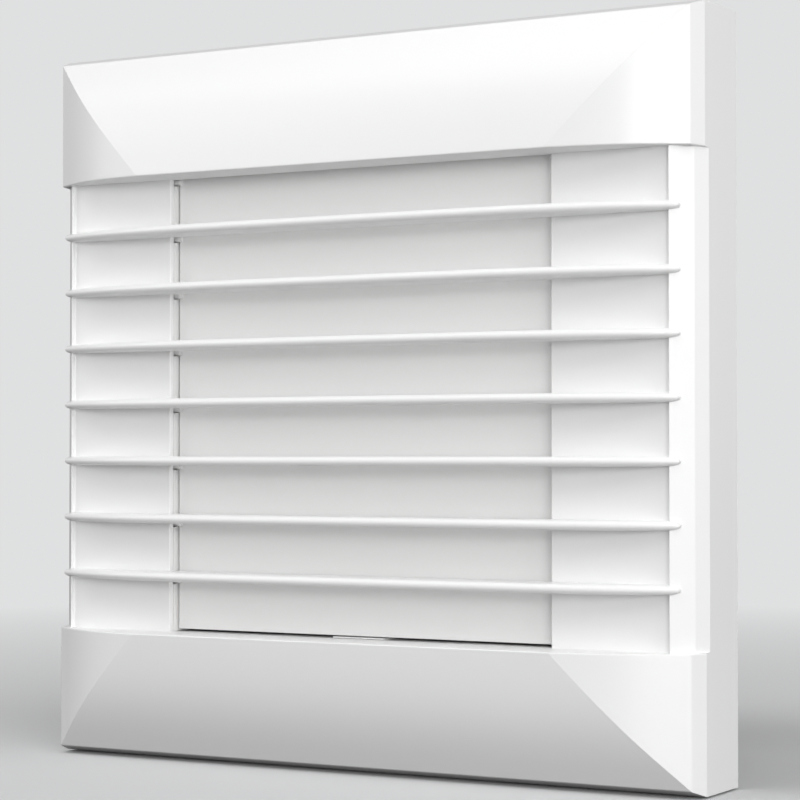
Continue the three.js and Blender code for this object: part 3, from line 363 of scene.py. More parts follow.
def turned(name, profile, steps=96, middle=(0, 0, 0), axis="y", closed=True):
    """A profile of (radius, along) points spun about an axis; an open one starts and ends on the axis."""
    piece = drawn(name, [(r, along, 0) for r, along in profile], closed)
    editing(piece)
    if closed:
        bpy.ops.mesh.delete(type="ONLY_FACE")
        bpy.ops.mesh.select_all(action="SELECT")
    bpy.ops.mesh.spin(steps=steps, angle=2 * math.pi, center=(0, 0, 0), axis=(0, 1, 0))
    outward(piece)
    upright = Matrix.Rotation(math.pi / 2 if axis == "z" else 0, 4, "X")
    piece.data.transform(Matrix.Translation(middle) @ upright)
    return piece


def tube(name, points, radius):
    """A round wire along the points."""
    piece = drawn(name, points, False)
    only(piece)
    bpy.ops.object.convert(target="CURVE")
    piece = bpy.context.object
    piece.data.bevel_depth, piece.data.bevel_resolution, piece.data.use_fill_caps = radius, 5, True
    bpy.ops.object.convert(target="MESH")
    return outward(bpy.context.object)


def smooth_path(points, steps=6):
    """Points on the smooth curve that runs through all the given ones."""
    p = [Vector(point) * MM for point in points]
    p = [2 * p[0] - p[1], *p, 2 * p[-1] - p[-2]]
    made = [p[1]]
    for a, b, c, d in zip(p, p[1:], p[2:], p[3:]):
        ta, tb, tc = ((v - u).length ** 0.5 for u, v in ((a, b), (b, c), (c, d)))
        leave = ((b - a) / ta - (c - a) / (ta + tb) + (c - b) / tb) * tb
        arrive = ((c - b) / tb - (d - b) / (tb + tc) + (d - c) / tc) * tb
        for i in range(1, steps + 1):
            t = i / steps
            made.append(b * (2 * t**3 - 3 * t**2 + 1) + leave * (t**3 - 2 * t**2 + t)
                        + c * (3 * t**2 - 2 * t**3) + arrive * (t**3 - t**2))
    return made


def applied(piece, kind, **settings):
    """Adds a modifier and applies it."""
    only(piece)
    modifier = piece.modifiers.new(kind.lower(), kind)
    for key, value in settings.items():
        setattr(modifier, key, value)
    bpy.ops.object.modifier_apply(modifier=modifier.name)
    return piece


def combined(piece, tool, operation):
    applied(piece, "BOOLEAN", object=tool, operation=operation, solver="EXACT")
    bpy.data.objects.remove(tool)
    return piece


def cut(piece, *tools):
    for tool in tools:
        combined(piece, tool, "DIFFERENCE")
    return piece


def rounded(piece, radius, segments=2, over=30):
    return applied(piece, "BEVEL", width=radius, segments=segments, limit_method="ANGLE",
                   angle_limit=math.radians(over), harden_normals=False, miter_outer="MITER_ARC")


def picked(piece, wanted):
    """Goes into edit mode with those edges selected whose two ends pass the test."""
    editing(piece, "DESELECT")
    bpy.ops.mesh.select_mode(type="EDGE")
    bpy.ops.object.mode_set(mode="OBJECT")
    corners = piece.data.vertices
    for edge in piece.data.edges:
        edge.select = all(wanted(corners[i].co) for i in edge.vertices)
    bpy.ops.object.mode_set(mode="EDIT")


def joined(first, *others):
    deselect()
    for piece in (first, *others):
        piece.select_set(True)
    bpy.context.view_layer.objects.active = first
    bpy.ops.object.join()
    return first


def copied(piece, name, offset=(0, 0, 0), turn=0.0):
    """A copy with its own mesh, turned about the fan's axis and then moved."""
    twin = piece.copy()
    twin.data = piece.data.copy()
    twin.name = twin.data.name = name
    bpy.context.scene.collection.objects.link(twin)
    twin.data.transform(Matrix.Translation(offset) @ Matrix.Rotation(turn, 4, "Y"))
    return twin


def finished(piece, material, body="fixed", stands_for=(), smooth=30, creases=()):
    """Smooths a piece, gives it its material and lets it ride on its body."""
    only(piece)
    bpy.ops.object.transform_apply(location=True, rotation=True, scale=True)
    bpy.ops.object.shade_smooth_by_angle(angle=math.radians(smooth))
    for crease in creases:
        picked(piece, crease)
        bpy.ops.mesh.mark_sharp()
        bpy.ops.object.mode_set(mode="OBJECT")
    applied(piece, "WEIGHTED_NORMAL", keep_sharp=True)
    piece.data.materials.clear()
    piece.data.materials.append(material)
    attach(piece, body)
    if stands_for:
        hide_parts(*stands_for)
    piece.select_set(False)
    return piece


# ---------------------------------------------------------------- materials
def surface(name):
    """A new node material, its links and its shader, and the object's own coordinates."""
    material = bpy.data.materials.new(name)
    material.use_nodes = True
    nodes = material.node_tree.nodes
    coordinates = nodes.new("ShaderNodeTexCoord").outputs["Object"]
    return material, nodes, material.node_tree.links, nodes["Principled BSDF"], coordinates


def noise(nodes, links, vector, scale, detail=2.0, roughness=0.5):
    node = nodes.new("ShaderNodeTexNoise")
    node.inputs["Scale"].default_value = scale
    node.inputs["Detail"].default_value = detail
    node.inputs["Roughness"].default_value = roughness
    links.new(vector, node.inputs["Vector"])
    return node.outputs["Fac"]


def ranged(nodes, links, value, low_value, high_value, low_at=0.3, high_at=0.7):
    node = nodes.new("ShaderNodeMapRange")
    ends = {"From Min": low_at, "From Max": high_at, "To Min": low_value, "To Max": high_value}
    for socket, number in ends.items():
        node.inputs[socket].default_value = number
    links.new(value, node.inputs["Value"])
    return node.outputs["Result"]


def mixed(nodes, links, factor, colour_a, colour_b):
    node = nodes.new("ShaderNodeMix")
    node.data_type = "RGBA"
    node.inputs[6].default_value = (*colour_a, 1)
    node.inputs[7].default_value = (*colour_b, 1)
    links.new(factor, node.inputs[0])
    return node.outputs[2]


def bumped(nodes, links, shader, height, strength, distance):
    node = nodes.new("ShaderNodeBump")
    node.inputs["Strength"].default_value = strength
    node.inputs["Distance"].default_value = distance
    links.new(height, node.inputs["Height"])
    links.new(node.outputs["Normal"], shader.inputs["Normal"])


def moulded_plastic(name, base, roughness, grain=0.12, grain_scale=2600):
    """Injection-moulded plastic: fine mould grain, faint flow marks and uneven gloss."""
    material, nodes, links, shader, at = surface(name)
    flow = noise(nodes, links, at, 26, 3.0, 0.45)
    links.new(mixed(nodes, links, flow, [c * 0.985 for c in base], base), shader.inputs["Base Color"])
    gloss = noise(nodes, links, at, 60, 2.0, 0.5)
    links.new(ranged(nodes, links, gloss, roughness - 0.015, roughness + 0.015), shader.inputs["Roughness"])
    bumped(nodes, links, shader, noise(nodes, links, at, grain_scale, 2.0, 0.6), grain, 0.00002)
    shader.inputs["IOR"].default_value = 1.5
    return material


def drawn_metal(name, base, roughness, stretch=(1, 1, 12)):
    """Metal with fine marks drawn out along one direction."""
    material, nodes, links, shader, at = surface(name)
    mapping = nodes.new("ShaderNodeMapping")
    mapping.inputs["Scale"].default_value = stretch
    links.new(at, mapping.inputs["Vector"])
    marks = noise(nodes, links, mapping.outputs["Vector"], 700, 3.0, 0.6)
    links.new(mixed(nodes, links, marks, [c * 0.86 for c in base], base), shader.inputs["Base Color"])
    links.new(ranged(nodes, links, marks, roughness - 0.06, roughness + 0.08), shader.inputs["Roughness"])
    bumped(nodes, links, shader, marks, 0.15, 0.00002)
    shader.inputs["Metallic"].default_value = 1.0
    return material


def stacked_sheet(name, base, roughness=0.5, sheet=0.0005):
    """Thin steel sheets stacked along the fan's axis."""
    material, nodes, links, shader, at = surface(name)
    wave = nodes.new("ShaderNodeTexWave")
    wave.bands_direction = "Y"
    wave.inputs["Scale"].default_value = 1 / (sheet * 20)
    wave.inputs["Distortion"].default_value = 0.4
    links.new(at, wave.inputs["Vector"])
    tint = mixed(nodes, links, wave.outputs["Fac"], [c * 0.6 for c in base], base)
    links.new(tint, shader.inputs["Base Color"])
    bumped(nodes, links, shader, wave.outputs["Fac"], 0.4, 0.00005)
    shader.inputs["Metallic"].default_value = 1.0
    shader.inputs["Roughness"].default_value = roughness
    return material


def wound_wire(name, base):
    """Enamelled wire lying side by side."""
    material, nodes, links, shader, at = surface(name)
    wave = nodes.new("ShaderNodeTexWave")
    wave.wave_type = "RINGS"
    wave.rings_direction = "Y"
    wave.inputs["Scale"].default_value = 130
    wave.inputs["Distortion"].default_value = 1.2
    links.new(at, wave.inputs["Vector"])
    tint = mixed(nodes, links, wave.outputs["Fac"], [c * 0.45 for c in base], base)
    links.new(tint, shader.inputs["Base Color"])
    bumped(nodes, links, shader, wave.outputs["Fac"], 0.6, 0.0001)
    shader.inputs["Metallic"].default_value = 0.85
    shader.inputs["Roughness"].default_value = 0.32
    return material


def rubber(name, base, roughness=0.65):
    material, nodes, links, shader, at = surface(name)
    bloom = noise(nodes, links, at, 160, 4.0, 0.6)
    links.new(mixed(nodes, links, bloom, base, [c * 1.6 for c in base]), shader.inputs["Base Color"])
    links.new(ranged(nodes, links, bloom, roughness - 0.08, roughness + 0.1), shader.inputs["Roughness"])
    bumped(nodes, links, shader, noise(nodes, links, at, 3200, 2.0), 0.2, 0.00003)
    return material


def closed_cell_foam(name, base):
    material, nodes, links, shader, at = surface(name)
    cells = nodes.new("ShaderNodeTexVoronoi")
    cells.inputs["Scale"].default_value = 1500
    links.new(at, cells.inputs["Vector"])
    dim, pale = [c * 0.6 for c in base], [c * 1.5 for c in base]
    links.new(mixed(nodes, links, cells.outputs["Distance"], dim, pale), shader.inputs["Base Color"])
    bumped(nodes, links, shader, cells.outputs["Distance"], 0.7, 0.0002)
    shader.inputs["Roughness"].default_value = 0.95
    return material


MATERIALS = {}


def make_materials():
    c = fan().colours
    MATERIALS.update({
        "white_gloss": moulded_plastic("White Gloss Plastic", c.white_gloss, 0.3, 0.05),
        "white_satin": moulded_plastic("White Satin Plastic", c.white_satin, 0.42, 0.12),
        "grey_plastic": moulded_plastic("Grey Plastic", c.grey, 0.45, 0.2),
        "dark_plastic": moulded_plastic("Dark Plastic", c.dark, 0.45, 0.2),
        "steel": drawn_metal("Zinc Plated Steel", c.steel, 0.3),
        "motor_steel": drawn_metal("Drawn Motor Steel", c.motor, 0.38, (1, 14, 1)),
        "lamination": stacked_sheet("Electrical Sheet", c.lamination),
        "copper": wound_wire("Enamelled Copper Wire", c.copper),
        "brass": drawn_metal("Turned Brass", c.brass, 0.28, (1, 10, 1)),
        "rubber": rubber("Black Rubber", c.rubber),
        "foam": closed_cell_foam("Sealing Foam", c.foam),
    })


# ---------------------------------------------------------------- front cover
def band_curve(s):
    """(distance from the edge, rise over the rim) of a band's outer skin."""
    climb = s.band_rise - s.shoulder_rise
    run = s.upper_band - s.shoulder_run
    face = bezier([(s.shoulder_run, s.shoulder_rise),
                   (s.shoulder_run + run * 0.337, s.shoulder_rise + climb * 0.65),
                   (s.upper_band - run * 0.487, s.band_rise - climb * 0.182),
                   (s.upper_band, s.band_rise)], 30)
    strip = [(0, -3 * MM), (0, 0), (s.chamfer_run, s.chamfer_rise), (s.shoulder_run, s.shoulder_rise), *face]
    return softened(strip, 2.5 * s.edge_radius, closed=False, steps=5)[1:]


def cushion(name, s, inset, back):
    """The square cushion form: a square pushed forward ring by ring, each ring a little smaller."""
    half = high("front_cover").x - inset
    front = -s.side_depth + inset
    deselect()
    bpy.ops.mesh.primitive_plane_add(size=2 * half, location=(0, back, 0), rotation=(math.pi / 2, 0, 0))
    piece = added(name)
    editing(piece)
    rings = [(t, front - rise) for t, rise in band_curve(s)]
    size, y = half, back
    for t, y_next in rings:
        bpy.ops.mesh.extrude_region_move(TRANSFORM_OT_translate={"value": (0, y_next - y, 0)})
        ratio = (half - t) / size
        bpy.ops.transform.resize(value=(ratio, 1, ratio), center_override=(0, y_next, 0))
        size, y = half - t, y_next
    return outward(piece)


def sliced(piece, z, keep_above):
    """Cuts the piece level at z and closes the cut."""
    editing(piece)
    bpy.ops.mesh.bisect(plane_co=(0, 0, z), plane_no=(0, 0, 1), use_fill=True,
                        clear_inner=keep_above, clear_outer=not keep_above)
    return outward(piece)


def band(name, s, lip_z, upper):
    """One hollow band of the cover, with the lip that closes it towards the slats."""
    into = s.wall if upper else -s.wall
    shell = sliced(cushion(name, s, 0, 0), lip_z, upper)
    picked(shell, lambda p: abs(p.z - lip_z) < 1e-6 and p.y < -s.side_depth - 1e-6)
    bpy.ops.mesh.bevel(offset=s.edge_radius, segments=3, affect="EDGES", clamp_overlap=False)
    outward(shell)
    hollow = sliced(cushion("hollow", s, s.wall, 0.01), lip_z + into, upper)
    reach = high("front_cover").x - s.wall
    behind_lip = block("behind_lip", (-reach, -s.shelf_back, lip_z - into), (reach, 0.01, lip_z + 2 * into))
    return cut(shell, hollow, behind_lip)


def side_outline(s):
    """Section of a side between the bands: wing, raised rim and side wall, as (x, y) points."""
    half = high("front_cover").x
    rim = -s.side_depth
    inner = half - s.rim_width
    floor = rim - s.wing_rise
    wall = half - s.wall
    edge_back = low("shutter_frame").y - 0.05 * MM
    turn = s.opening_half + 1.2 * MM
    hair = 0.01 * MM      # keeps the joined walls out of each other's planes
    half, wall = half - hair, wall + hair
    outline = [(half, -hair), (half, rim + s.strip_back), (half - s.strip_run, rim - s.strip_rise),
               (inner, rim - s.rim_rise), (inner, floor),
               (s.opening_half, floor), (s.opening_half, edge_back),
               (turn, edge_back), (turn, floor + s.wing_wall), (inner + MM, floor + s.wing_wall),
               (wall - 0.6 * MM, rim - MM), (wall, rim + s.strip_back), (wall, -hair)]
    return outline[:1] + softened(outline, s.edge_radius, closed=False, steps=4)[1:]


class FAN_OT_cover(bpy.types.Operator):
    """Models the front cover's shell: two cushion-shaped bands, with wings, rims and side walls between"""
    bl_idname = "exhaust_fan.cover"
    bl_label = "Cover"

    def execute(self, context):
        s = fan().cover
        half = high("front_cover").x
        top, bottom, lap = half - s.upper_band, s.lower_band - half, MM
        shell = band("cover_shell", s, top, True)
        combined(shell, band("lower_band", s, bottom, False), "UNION")
        for sign in (-1, 1):
            outline = [(sign * x, y, bottom - lap) for x, y in side_outline(s)]
            combined(shell, extruded("side", outline, (0, 0, top - bottom + 2 * lap)), "UNION")
        for x in (-44, 44):
            hook = rounded(block("hook", *metres((x - 4, -2, 90.3), (x + 4, -0.6, 94))), 0.2 * MM)
            combined(shell, hook, "UNION")
        screw = centre("cover_lock_screw")
        pad = block("pad", (screw.x - 6 * MM, screw.y - 5 * MM, -half + MM),
                    (screw.x + 6 * MM, low("fan_housing").y + 6.2 * MM, -half + 2 * s.wall))
        combined(shell, pad, "UNION")
        entry = centre("cable_grommet")
        for place, radius, start, end, sides in ((screw, 3.3 * MM, -half - MM, s.wall - half, 48),
                                                 (screw, SCREW_HOLE, -half, 3 * s.wall - half, 32),
                                                 (entry, 4.5 * MM, -half - MM, 2 * s.wall - half, 64)):
            ends = [(place.x, place.y, z) for z in (start, end)]
            cut(shell, rod("hole", "z", radius, *ends, sides))
        folds = [lambda p, side=side: side * p.x > 0 and abs(abs(p.x) - abs(p.z)) < 1e-5 for side in (-1, 1)]
        finished(shell, MATERIALS["white_gloss"], stands_for=["front_cover"], smooth=13,
                 creases=folds)
        return {"FINISHED"}


class FAN_OT_slats(bpy.types.Operator):
    """Models a fixed slat, flat with a round front edge, and copies it to every gap between the flaps"""
    bl_idname = "exhaust_fan.slats"
    bl_label = "Slats"

    def execute(self, context):
        s, rim = fan().slat, -fan().cover.side_depth
        tip, back = high("front_cover").x - s.tip_inset, rim - s.back_rise
        deep = s.middle_rise - s.back_rise
        radius = s.thickness / 2
        middle = PIVOTS[1].z + s.above_pivot
        steps, levels = 72, 14

        def shape(level):
            """(height, width, depth) of the slat at a level of its round edge."""
            turn = math.pi * level / levels
            inset = radius * (1 - math.sin(turn))
            return -radius * math.cos(turn), (tip - 3 * inset) / tip, (deep - inset) / deep

        height, wide, long = shape(0)
        outline = []
        for i in range(steps + 1):
            x = -tip + 2 * tip * i / steps
            reach = deep - (s.middle_rise - s.tip_rise) * abs(x / tip) ** s.power
            outline.append((x * wide, back - reach * long, middle + height))
        outline += [(tip * wide, back, middle + height), (-tip * wide, back, middle + height)]
        first = drawn("slat_1", outline)
        editing(first)
        for level in range(1, levels + 1):
            next_height, next_wide, next_long = shape(level)
            bpy.ops.mesh.extrude_region_move(TRANSFORM_OT_translate={"value": (0, 0, next_height - height)})
            bpy.ops.transform.resize(value=(next_wide / wide, next_long / long, 1),
                                     center_override=(0, back, 0))
            height, wide, long = next_height, next_wide, next_long
        outward(first)
        for i, pivot in enumerate(PIVOTS[1:], start=1):
            piece = first if i == 1 else copied(first, f"slat_{i}", (0, 0, pivot.z - PIVOTS[1].z))
            finished(piece, MATERIALS["white_gloss"], stands_for=["front_cover"], smooth=40)
        return {"FINISHED"}


# ---------------------------------------------------------------- flaps
def crank(s, pivot, x0, x1):
    """Crank arm with its two bosses, at the flap's right end."""
    half_swing = s.swing / 2
    reach = Vector((0, math.cos(half_swing), -math.sin(half_swing)))
    side = Vector((0, math.sin(half_swing), math.cos(half_swing))) * (s.crank_width / 2)
    start = pivot + Vector((x0, 0, 0))
    end = start + reach * s.crank
    arm = extruded("crank", [start + side, end + side, end - side, start - side], (x1 - x0, 0, 0))
    bosses = [rod("boss", "x", s.crank_width / 2, p, p + Vector((x1 - x0, 0, 0)), 32) for p in (start, end)]
    pin_end = Vector((high("flap_1").x, end.y, end.z))
    pin = rounded(rod("crank_pin", "x", s.crank_pin, end + Vector((0.5 * MM, 0, 0)), pin_end, 32), 0.2 * MM)
    return joined(arm, *bosses, pin)


def flap(name, s, pivot, lapped):
    """A flap with its knuckles, pins and crank; a lapped one reaches down behind the next."""
    half = fan().cover.opening_half - s.side_gap
    pitch = PIVOTS[0].z - PIVOTS[1].z
    face, back = pivot.y + s.face, pivot.y + s.face + s.thickness
    top = pivot.z + s.above_pivot
    bottom = top + s.gap - pitch
    step = face + s.lap_thickness
    outline = [(face, bottom), (face, top), (step, top), (step, top - s.lap), (back, top - s.lap)]
    if lapped:
        step = back - s.lap_thickness
        outline += [(back, bottom - s.lap), (step, bottom - s.lap), (step, bottom)]
    else:
        outline += [(back, bottom)]
    board = extruded(name, [(-half, y, z) for y, z in softened(outline, 0.22 * MM)], (2 * half, 0, 0))
    right = Vector((half, pivot.y, pivot.z))
    left = Vector((-half, pivot.y, pivot.z))
    along = Vector((s.knuckle_length, 0, 0))
    knuckles = [rounded(rod("knuckle", "x", s.knuckle, a, a + along, 32), 0.2 * MM)
                for a in (left, right - along)]
    x0 = high("shutter_frame").x + 0.5 * MM
    reach = Vector((MM, 0, 0))
    pins = [rod("pin", "x", s.pin, Vector((low("flap_1").x, left.y, left.z)), left + reach, 32),
            rod("pin", "x", s.pin, right - reach, Vector((x0 + MM, right.y, right.z)), 32)]
    return joined(board, *knuckles, *pins, crank(s, pivot, x0, x0 + s.crank_thickness))


class FAN_OT_flaps(bpy.types.Operator):
    """Models the shutter flaps with their pins and cranks, one at every pivot"""
    bl_idname = "exhaust_fan.flaps"
    bl_label = "Flaps"

    def execute(self, context):
        s = fan().flap
        first = flap("flap_1_panel", s, PIVOTS[0], True)
        for i, pivot in enumerate(PIVOTS, start=1):
            if i == len(PIVOTS):
                piece = flap(f"flap_{i}_panel", s, pivot, False)
            else:
                piece = first if i == 1 else copied(first, f"flap_{i}_panel", pivot - PIVOTS[0])
            finished(piece, MATERIALS["white_satin"], f"flap_{i}", [f"flap_{i}"])
        return {"FINISHED"}


# ---------------------------------------------------------------- screws
def screw(name, head, height, shank, long, slots=2):
    """A pan-head screw along +Y with its seat at the origin and a recess in its head."""
    profile = [(0, -height), (head * 0.5, -height), (head * 0.88, -height * 0.72), (head, -height * 0.3),
               (head, 0), (shank, 0), (shank, long - shank * 0.5), (shank * 0.55, long), (0, long)]
    body = turned(name, softened(profile, height * 0.3, closed=False), 40, closed=False)
    wide, deep = head * 0.16, height * 0.55
    for i in range(slots):
        reach = (head * 0.6, wide) if i else (wide, head * 0.6)
        cut(body, block("slot", (-reach[0], -height * 1.2, -reach[1]), (reach[0], deep - height, reach[1])))
    return body


class FAN_OT_screws(bpy.types.Operator):
    """Models each kind of screw once and sets a copy in every place"""
    bl_idname = "exhaust_fan.screws"
    bl_label = "Screws"

    def execute(self, context):
        small, big = (3, 1.7, 1.5), (3.6, 2.4, 2)
        kinds = (("frame_screw", 4, small, "y", 1), ("actuator_screw", 2, small, "y", 1),
                 ("bracket_screw", 3, small, "y", 1), ("clamp_screw", 3, big, "y", 1),
                 ("motor_screw", 2, small, "y", -1), ("cover_lock_screw", 0, small, "z", 1))
        for kind, count, (head, height, shank), axis, way in kinds:
            nodes = [f"{kind}_{i + 1}" for i in range(count)] or [kind]
            along = 2 if axis == "z" else 1
            a, b = low(nodes[0]), high(nodes[0])
            model = screw(kind, head * MM, height * MM, shank * MM, b[along] - a[along] - height * MM)
            turn = Matrix.Rotation(math.pi / 2 if axis == "z" else math.pi * (way < 0), 4, "X")
            for node in nodes:
                a, b = low(node), high(node)
                seat = (a + b) / 2
                seat[along] = a[along] + height * MM if way > 0 else b[along] - height * MM
                piece = copied(model, node + "_screw")
                piece.data.transform(Matrix.Translation(seat) @ turn)
                finished(piece, MATERIALS["steel"], stands_for=[node])
            bpy.data.objects.remove(model)
        slotted = screw("terminal", 2 * MM, 0.9 * MM, 2 * MM, 1.5 * MM, 1)
        for i in (1, 2, 3):
            seat = centre(f"terminal_screw_{i}")
            seat.y = low(f"terminal_screw_{i}").y + 0.9 * MM
            piece = copied(slotted, f"terminal_screw_{i}_head", seat)
            finished(piece, MATERIALS["brass"], stands_for=[f"terminal_screw_{i}"])
        bpy.data.objects.remove(slotted)
        return {"FINISHED"}


# ---------------------------------------------------------------- actuator
class FAN_OT_actuator(bpy.types.Operator):
    """Models the thermal actuator's body, its plunger and the return spring"""
    bl_idname = "exhaust_fan.actuator"
    bl_label = "Actuator"

    def execute(self, context):
        a, b = low("actuator_body"), high("actuator_body")
        middle = ((a.x + b.x) / 2, (a.y + b.y) / 2, 0)
        tall = (b.z - a.z) / MM
        profile = metres((1.8, tall), (5.2, tall), (6, tall - 0.8), (6, tall - 2.6), (5.5, tall - 3),
                         (5.5, tall - 3.8), (6, tall - 4.2), (6, 3.6), (5, 3.6), (5, 0.7), (4.3, 0), (1.8, 0))
        body = turned("actuator_case", softened(profile, 0.3 * MM), 64, (middle[0], middle[1], a.z), "z")
        finished(body, MATERIALS["brass"], stands_for=["actuator_body"])

        a, b = low("actuator_plunger"), high("actuator_plunger")
        tall = (b.z - a.z) / MM
        collar = (low("return_spring").z - a.z) / MM - 0.3
        profile = metres((0, 0), (1.1, 0), (1.5, 0.5), (1.5, collar - 1.5),
                         (3.8, collar - 1.5), (3.8, collar), (1.5, collar),
                         (1.5, tall - 1.5), (3.5, tall - 1.5), (3.5, tall), (0, tall))
        outline = softened(profile, 0.25 * MM, closed=False)
        plunger = turned("plunger_rod", outline, 64, (middle[0], middle[1], a.z), "z", False)
        finished(plunger, MATERIALS["steel"], "plunger", ["actuator_plunger"])

        a, b = low("return_spring"), high("return_spring")
        wire, radius, turns, closed_turns, per_turn = 0.4 * MM, 3 * MM, 6.5, 0.75, 28
        free = b.z - a.z - 2 * wire - 2 * closed_turns * 2 * wire
        points = []
        for i in range(int(turns * per_turn) + 1):
            n = i / per_turn
            open_part = min(max((n - closed_turns) / (turns - 2 * closed_turns), 0), 1)
            ends = min(n, closed_turns) + max(n - turns + closed_turns, 0)
            z = a.z + wire + open_part * free + ends * 2 * wire
            around = 2 * math.pi * n
            points.append((middle[0] + radius * math.cos(around), middle[1] + radius * math.sin(around), z))
        spring = tube("spring_wire", points, wire)
        finished(spring, MATERIALS["steel"], stands_for=["return_spring"], smooth=60)
        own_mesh(spring)
        return {"FINISHED"}


# ---------------------------------------------------------------- housing, shroud and what closes the duct
def spots(circle, first, count=3):
    """Places at even turns on a circle round the fan's axis."""
    return [Vector((circle * math.cos(math.radians(first + 360 / count * i)), 0,
                    circle * math.sin(math.radians(first + 360 / count * i)))) for i in range(count)]


def at_y(place, y):
    return (place.x, y, place.z)


def drill(place, radius, start, end, sides=24):
    """What a drill of that radius takes away along Y."""
    return rod("hole", "y", radius, at_y(place, start), at_y(place, end), sides)


def lead_place():
    return spots(LEAD_CIRCLE * MM, LEAD_TURN, 1)[0]


def ring_profile(inner, outer, a, b):
    """Section of a flat ring between two corners of its node's box."""
    return [(inner, a.y), (outer, a.y), (outer, b.y), (inner, b.y)]


class FAN_OT_housing(bpy.types.Operator):
    """Models the housing: the square plate, the duct and the motor bracket's pads"""
    bl_idname = "exhaust_fan.housing"
    bl_label = "Housing"

    def execute(self, context):
        s = fan().case
        a, b = low("fan_housing"), high("fan_housing")
        front, back = PLATE_FRONT, PLATE_BACK
        bore = s.duct - s.duct_wall
        body = rounded(block("housing_body", (a.x, front, a.z), (b.x, back, b.z)), 0.4 * MM, 2)
        cut(body, drill(Vector(), bore, front - MM, back + MM, 96))
        wall = [(bore, front), (s.duct, front), (s.duct, b.y), (bore, b.y)]
        combined(body, turned("tube", softened(wall, 0.4 * MM)), "UNION")
        ledge, pad_end = high("motor_bracket").y + 0.3 * MM, high("motor_bracket").y + 3.7 * MM
        for place in spots(s.pad_circle, 30):
            outer = place * ((bore + 0.5 * MM - 4 * MM) / s.pad_circle)
            for foot in (place, outer):
                combined(body, rod("pad", "y", 4 * MM, at_y(foot, ledge), at_y(foot, pad_end), 48), "UNION")
        lock = high("cover_lock_screw")
        combined(body, rounded(block("lock", *metres((15, -11.5, -90.7), (25, -4, -82))), 0.4 * MM), "UNION")
        ends = [(lock.x - 3 * MM, -7.5 * MM, z) for z in (-93 * MM, -81 * MM)]
        holes = [rod("hole", "z", SCREW_HOLE, *ends, 24)]
        holes += [drill(p, SCREW_HOLE, ledge - MM, pad_end + MM) for p in spots(s.pad_circle, 30)]
        through = [(p, CLAMP_HOLE) for p in spots(s.clamp_circle, 90)]
        for kind, count in (("frame_screw", 4), ("actuator_screw", 2)):
            through += [(centre(f"{kind}_{i + 1}"), SCREW_HOLE) for i in range(count)]
        through.append((lead_place(), LEAD_HOLE))
        holes += [drill(p, radius, front - MM, back + MM) for p, radius in through]
        cut(body, *holes)
        port = rod("port", "x", LEAD_HOLE, (58 * MM, 43.7 * MM, 0), (65 * MM, 43.7 * MM, 0), 24)
        port.data.transform(Matrix.Rotation(-math.radians(LEAD_TURN), 4, "Y"))
        cut(body, port)
        finished(body, MATERIALS["white_satin"], stands_for=["fan_housing"])
        return {"FINISHED"}


class FAN_OT_gaskets(bpy.types.Operator):
    """Models the two foam gaskets and the cable grommet"""
    bl_idname = "exhaust_fan.gaskets"
    bl_label = "Gaskets and Grommet"

    def execute(self, context):
        for node, inner in (("room_gasket", 71), ("outer_gasket", 71)):
            a, b = low(node), high(node)
            piece = turned(node + "_ring", softened(ring_profile(inner * MM, b.x, a, b), 0.7 * MM, steps=4))
            finished(piece, MATERIALS["foam"], stands_for=[node], smooth=50)
        a, b = low("cable_grommet"), high("cable_grommet")
        tall = (b.z - a.z) / MM
        profile = metres((3.2, 0), (4.2, 0), (4.2, tall - 1.4), (5.8, tall - 1.4), (5.8, tall), (3.2, tall))
        foot = ((a.x + b.x) / 2, (a.y + b.y) / 2, a.z)
        piece = turned("grommet_ring", softened(profile, 0.45 * MM, steps=4), 64, foot, "z")
        finished(piece, MATERIALS["rubber"], stands_for=["cable_grommet"], smooth=50)
        return {"FINISHED"}


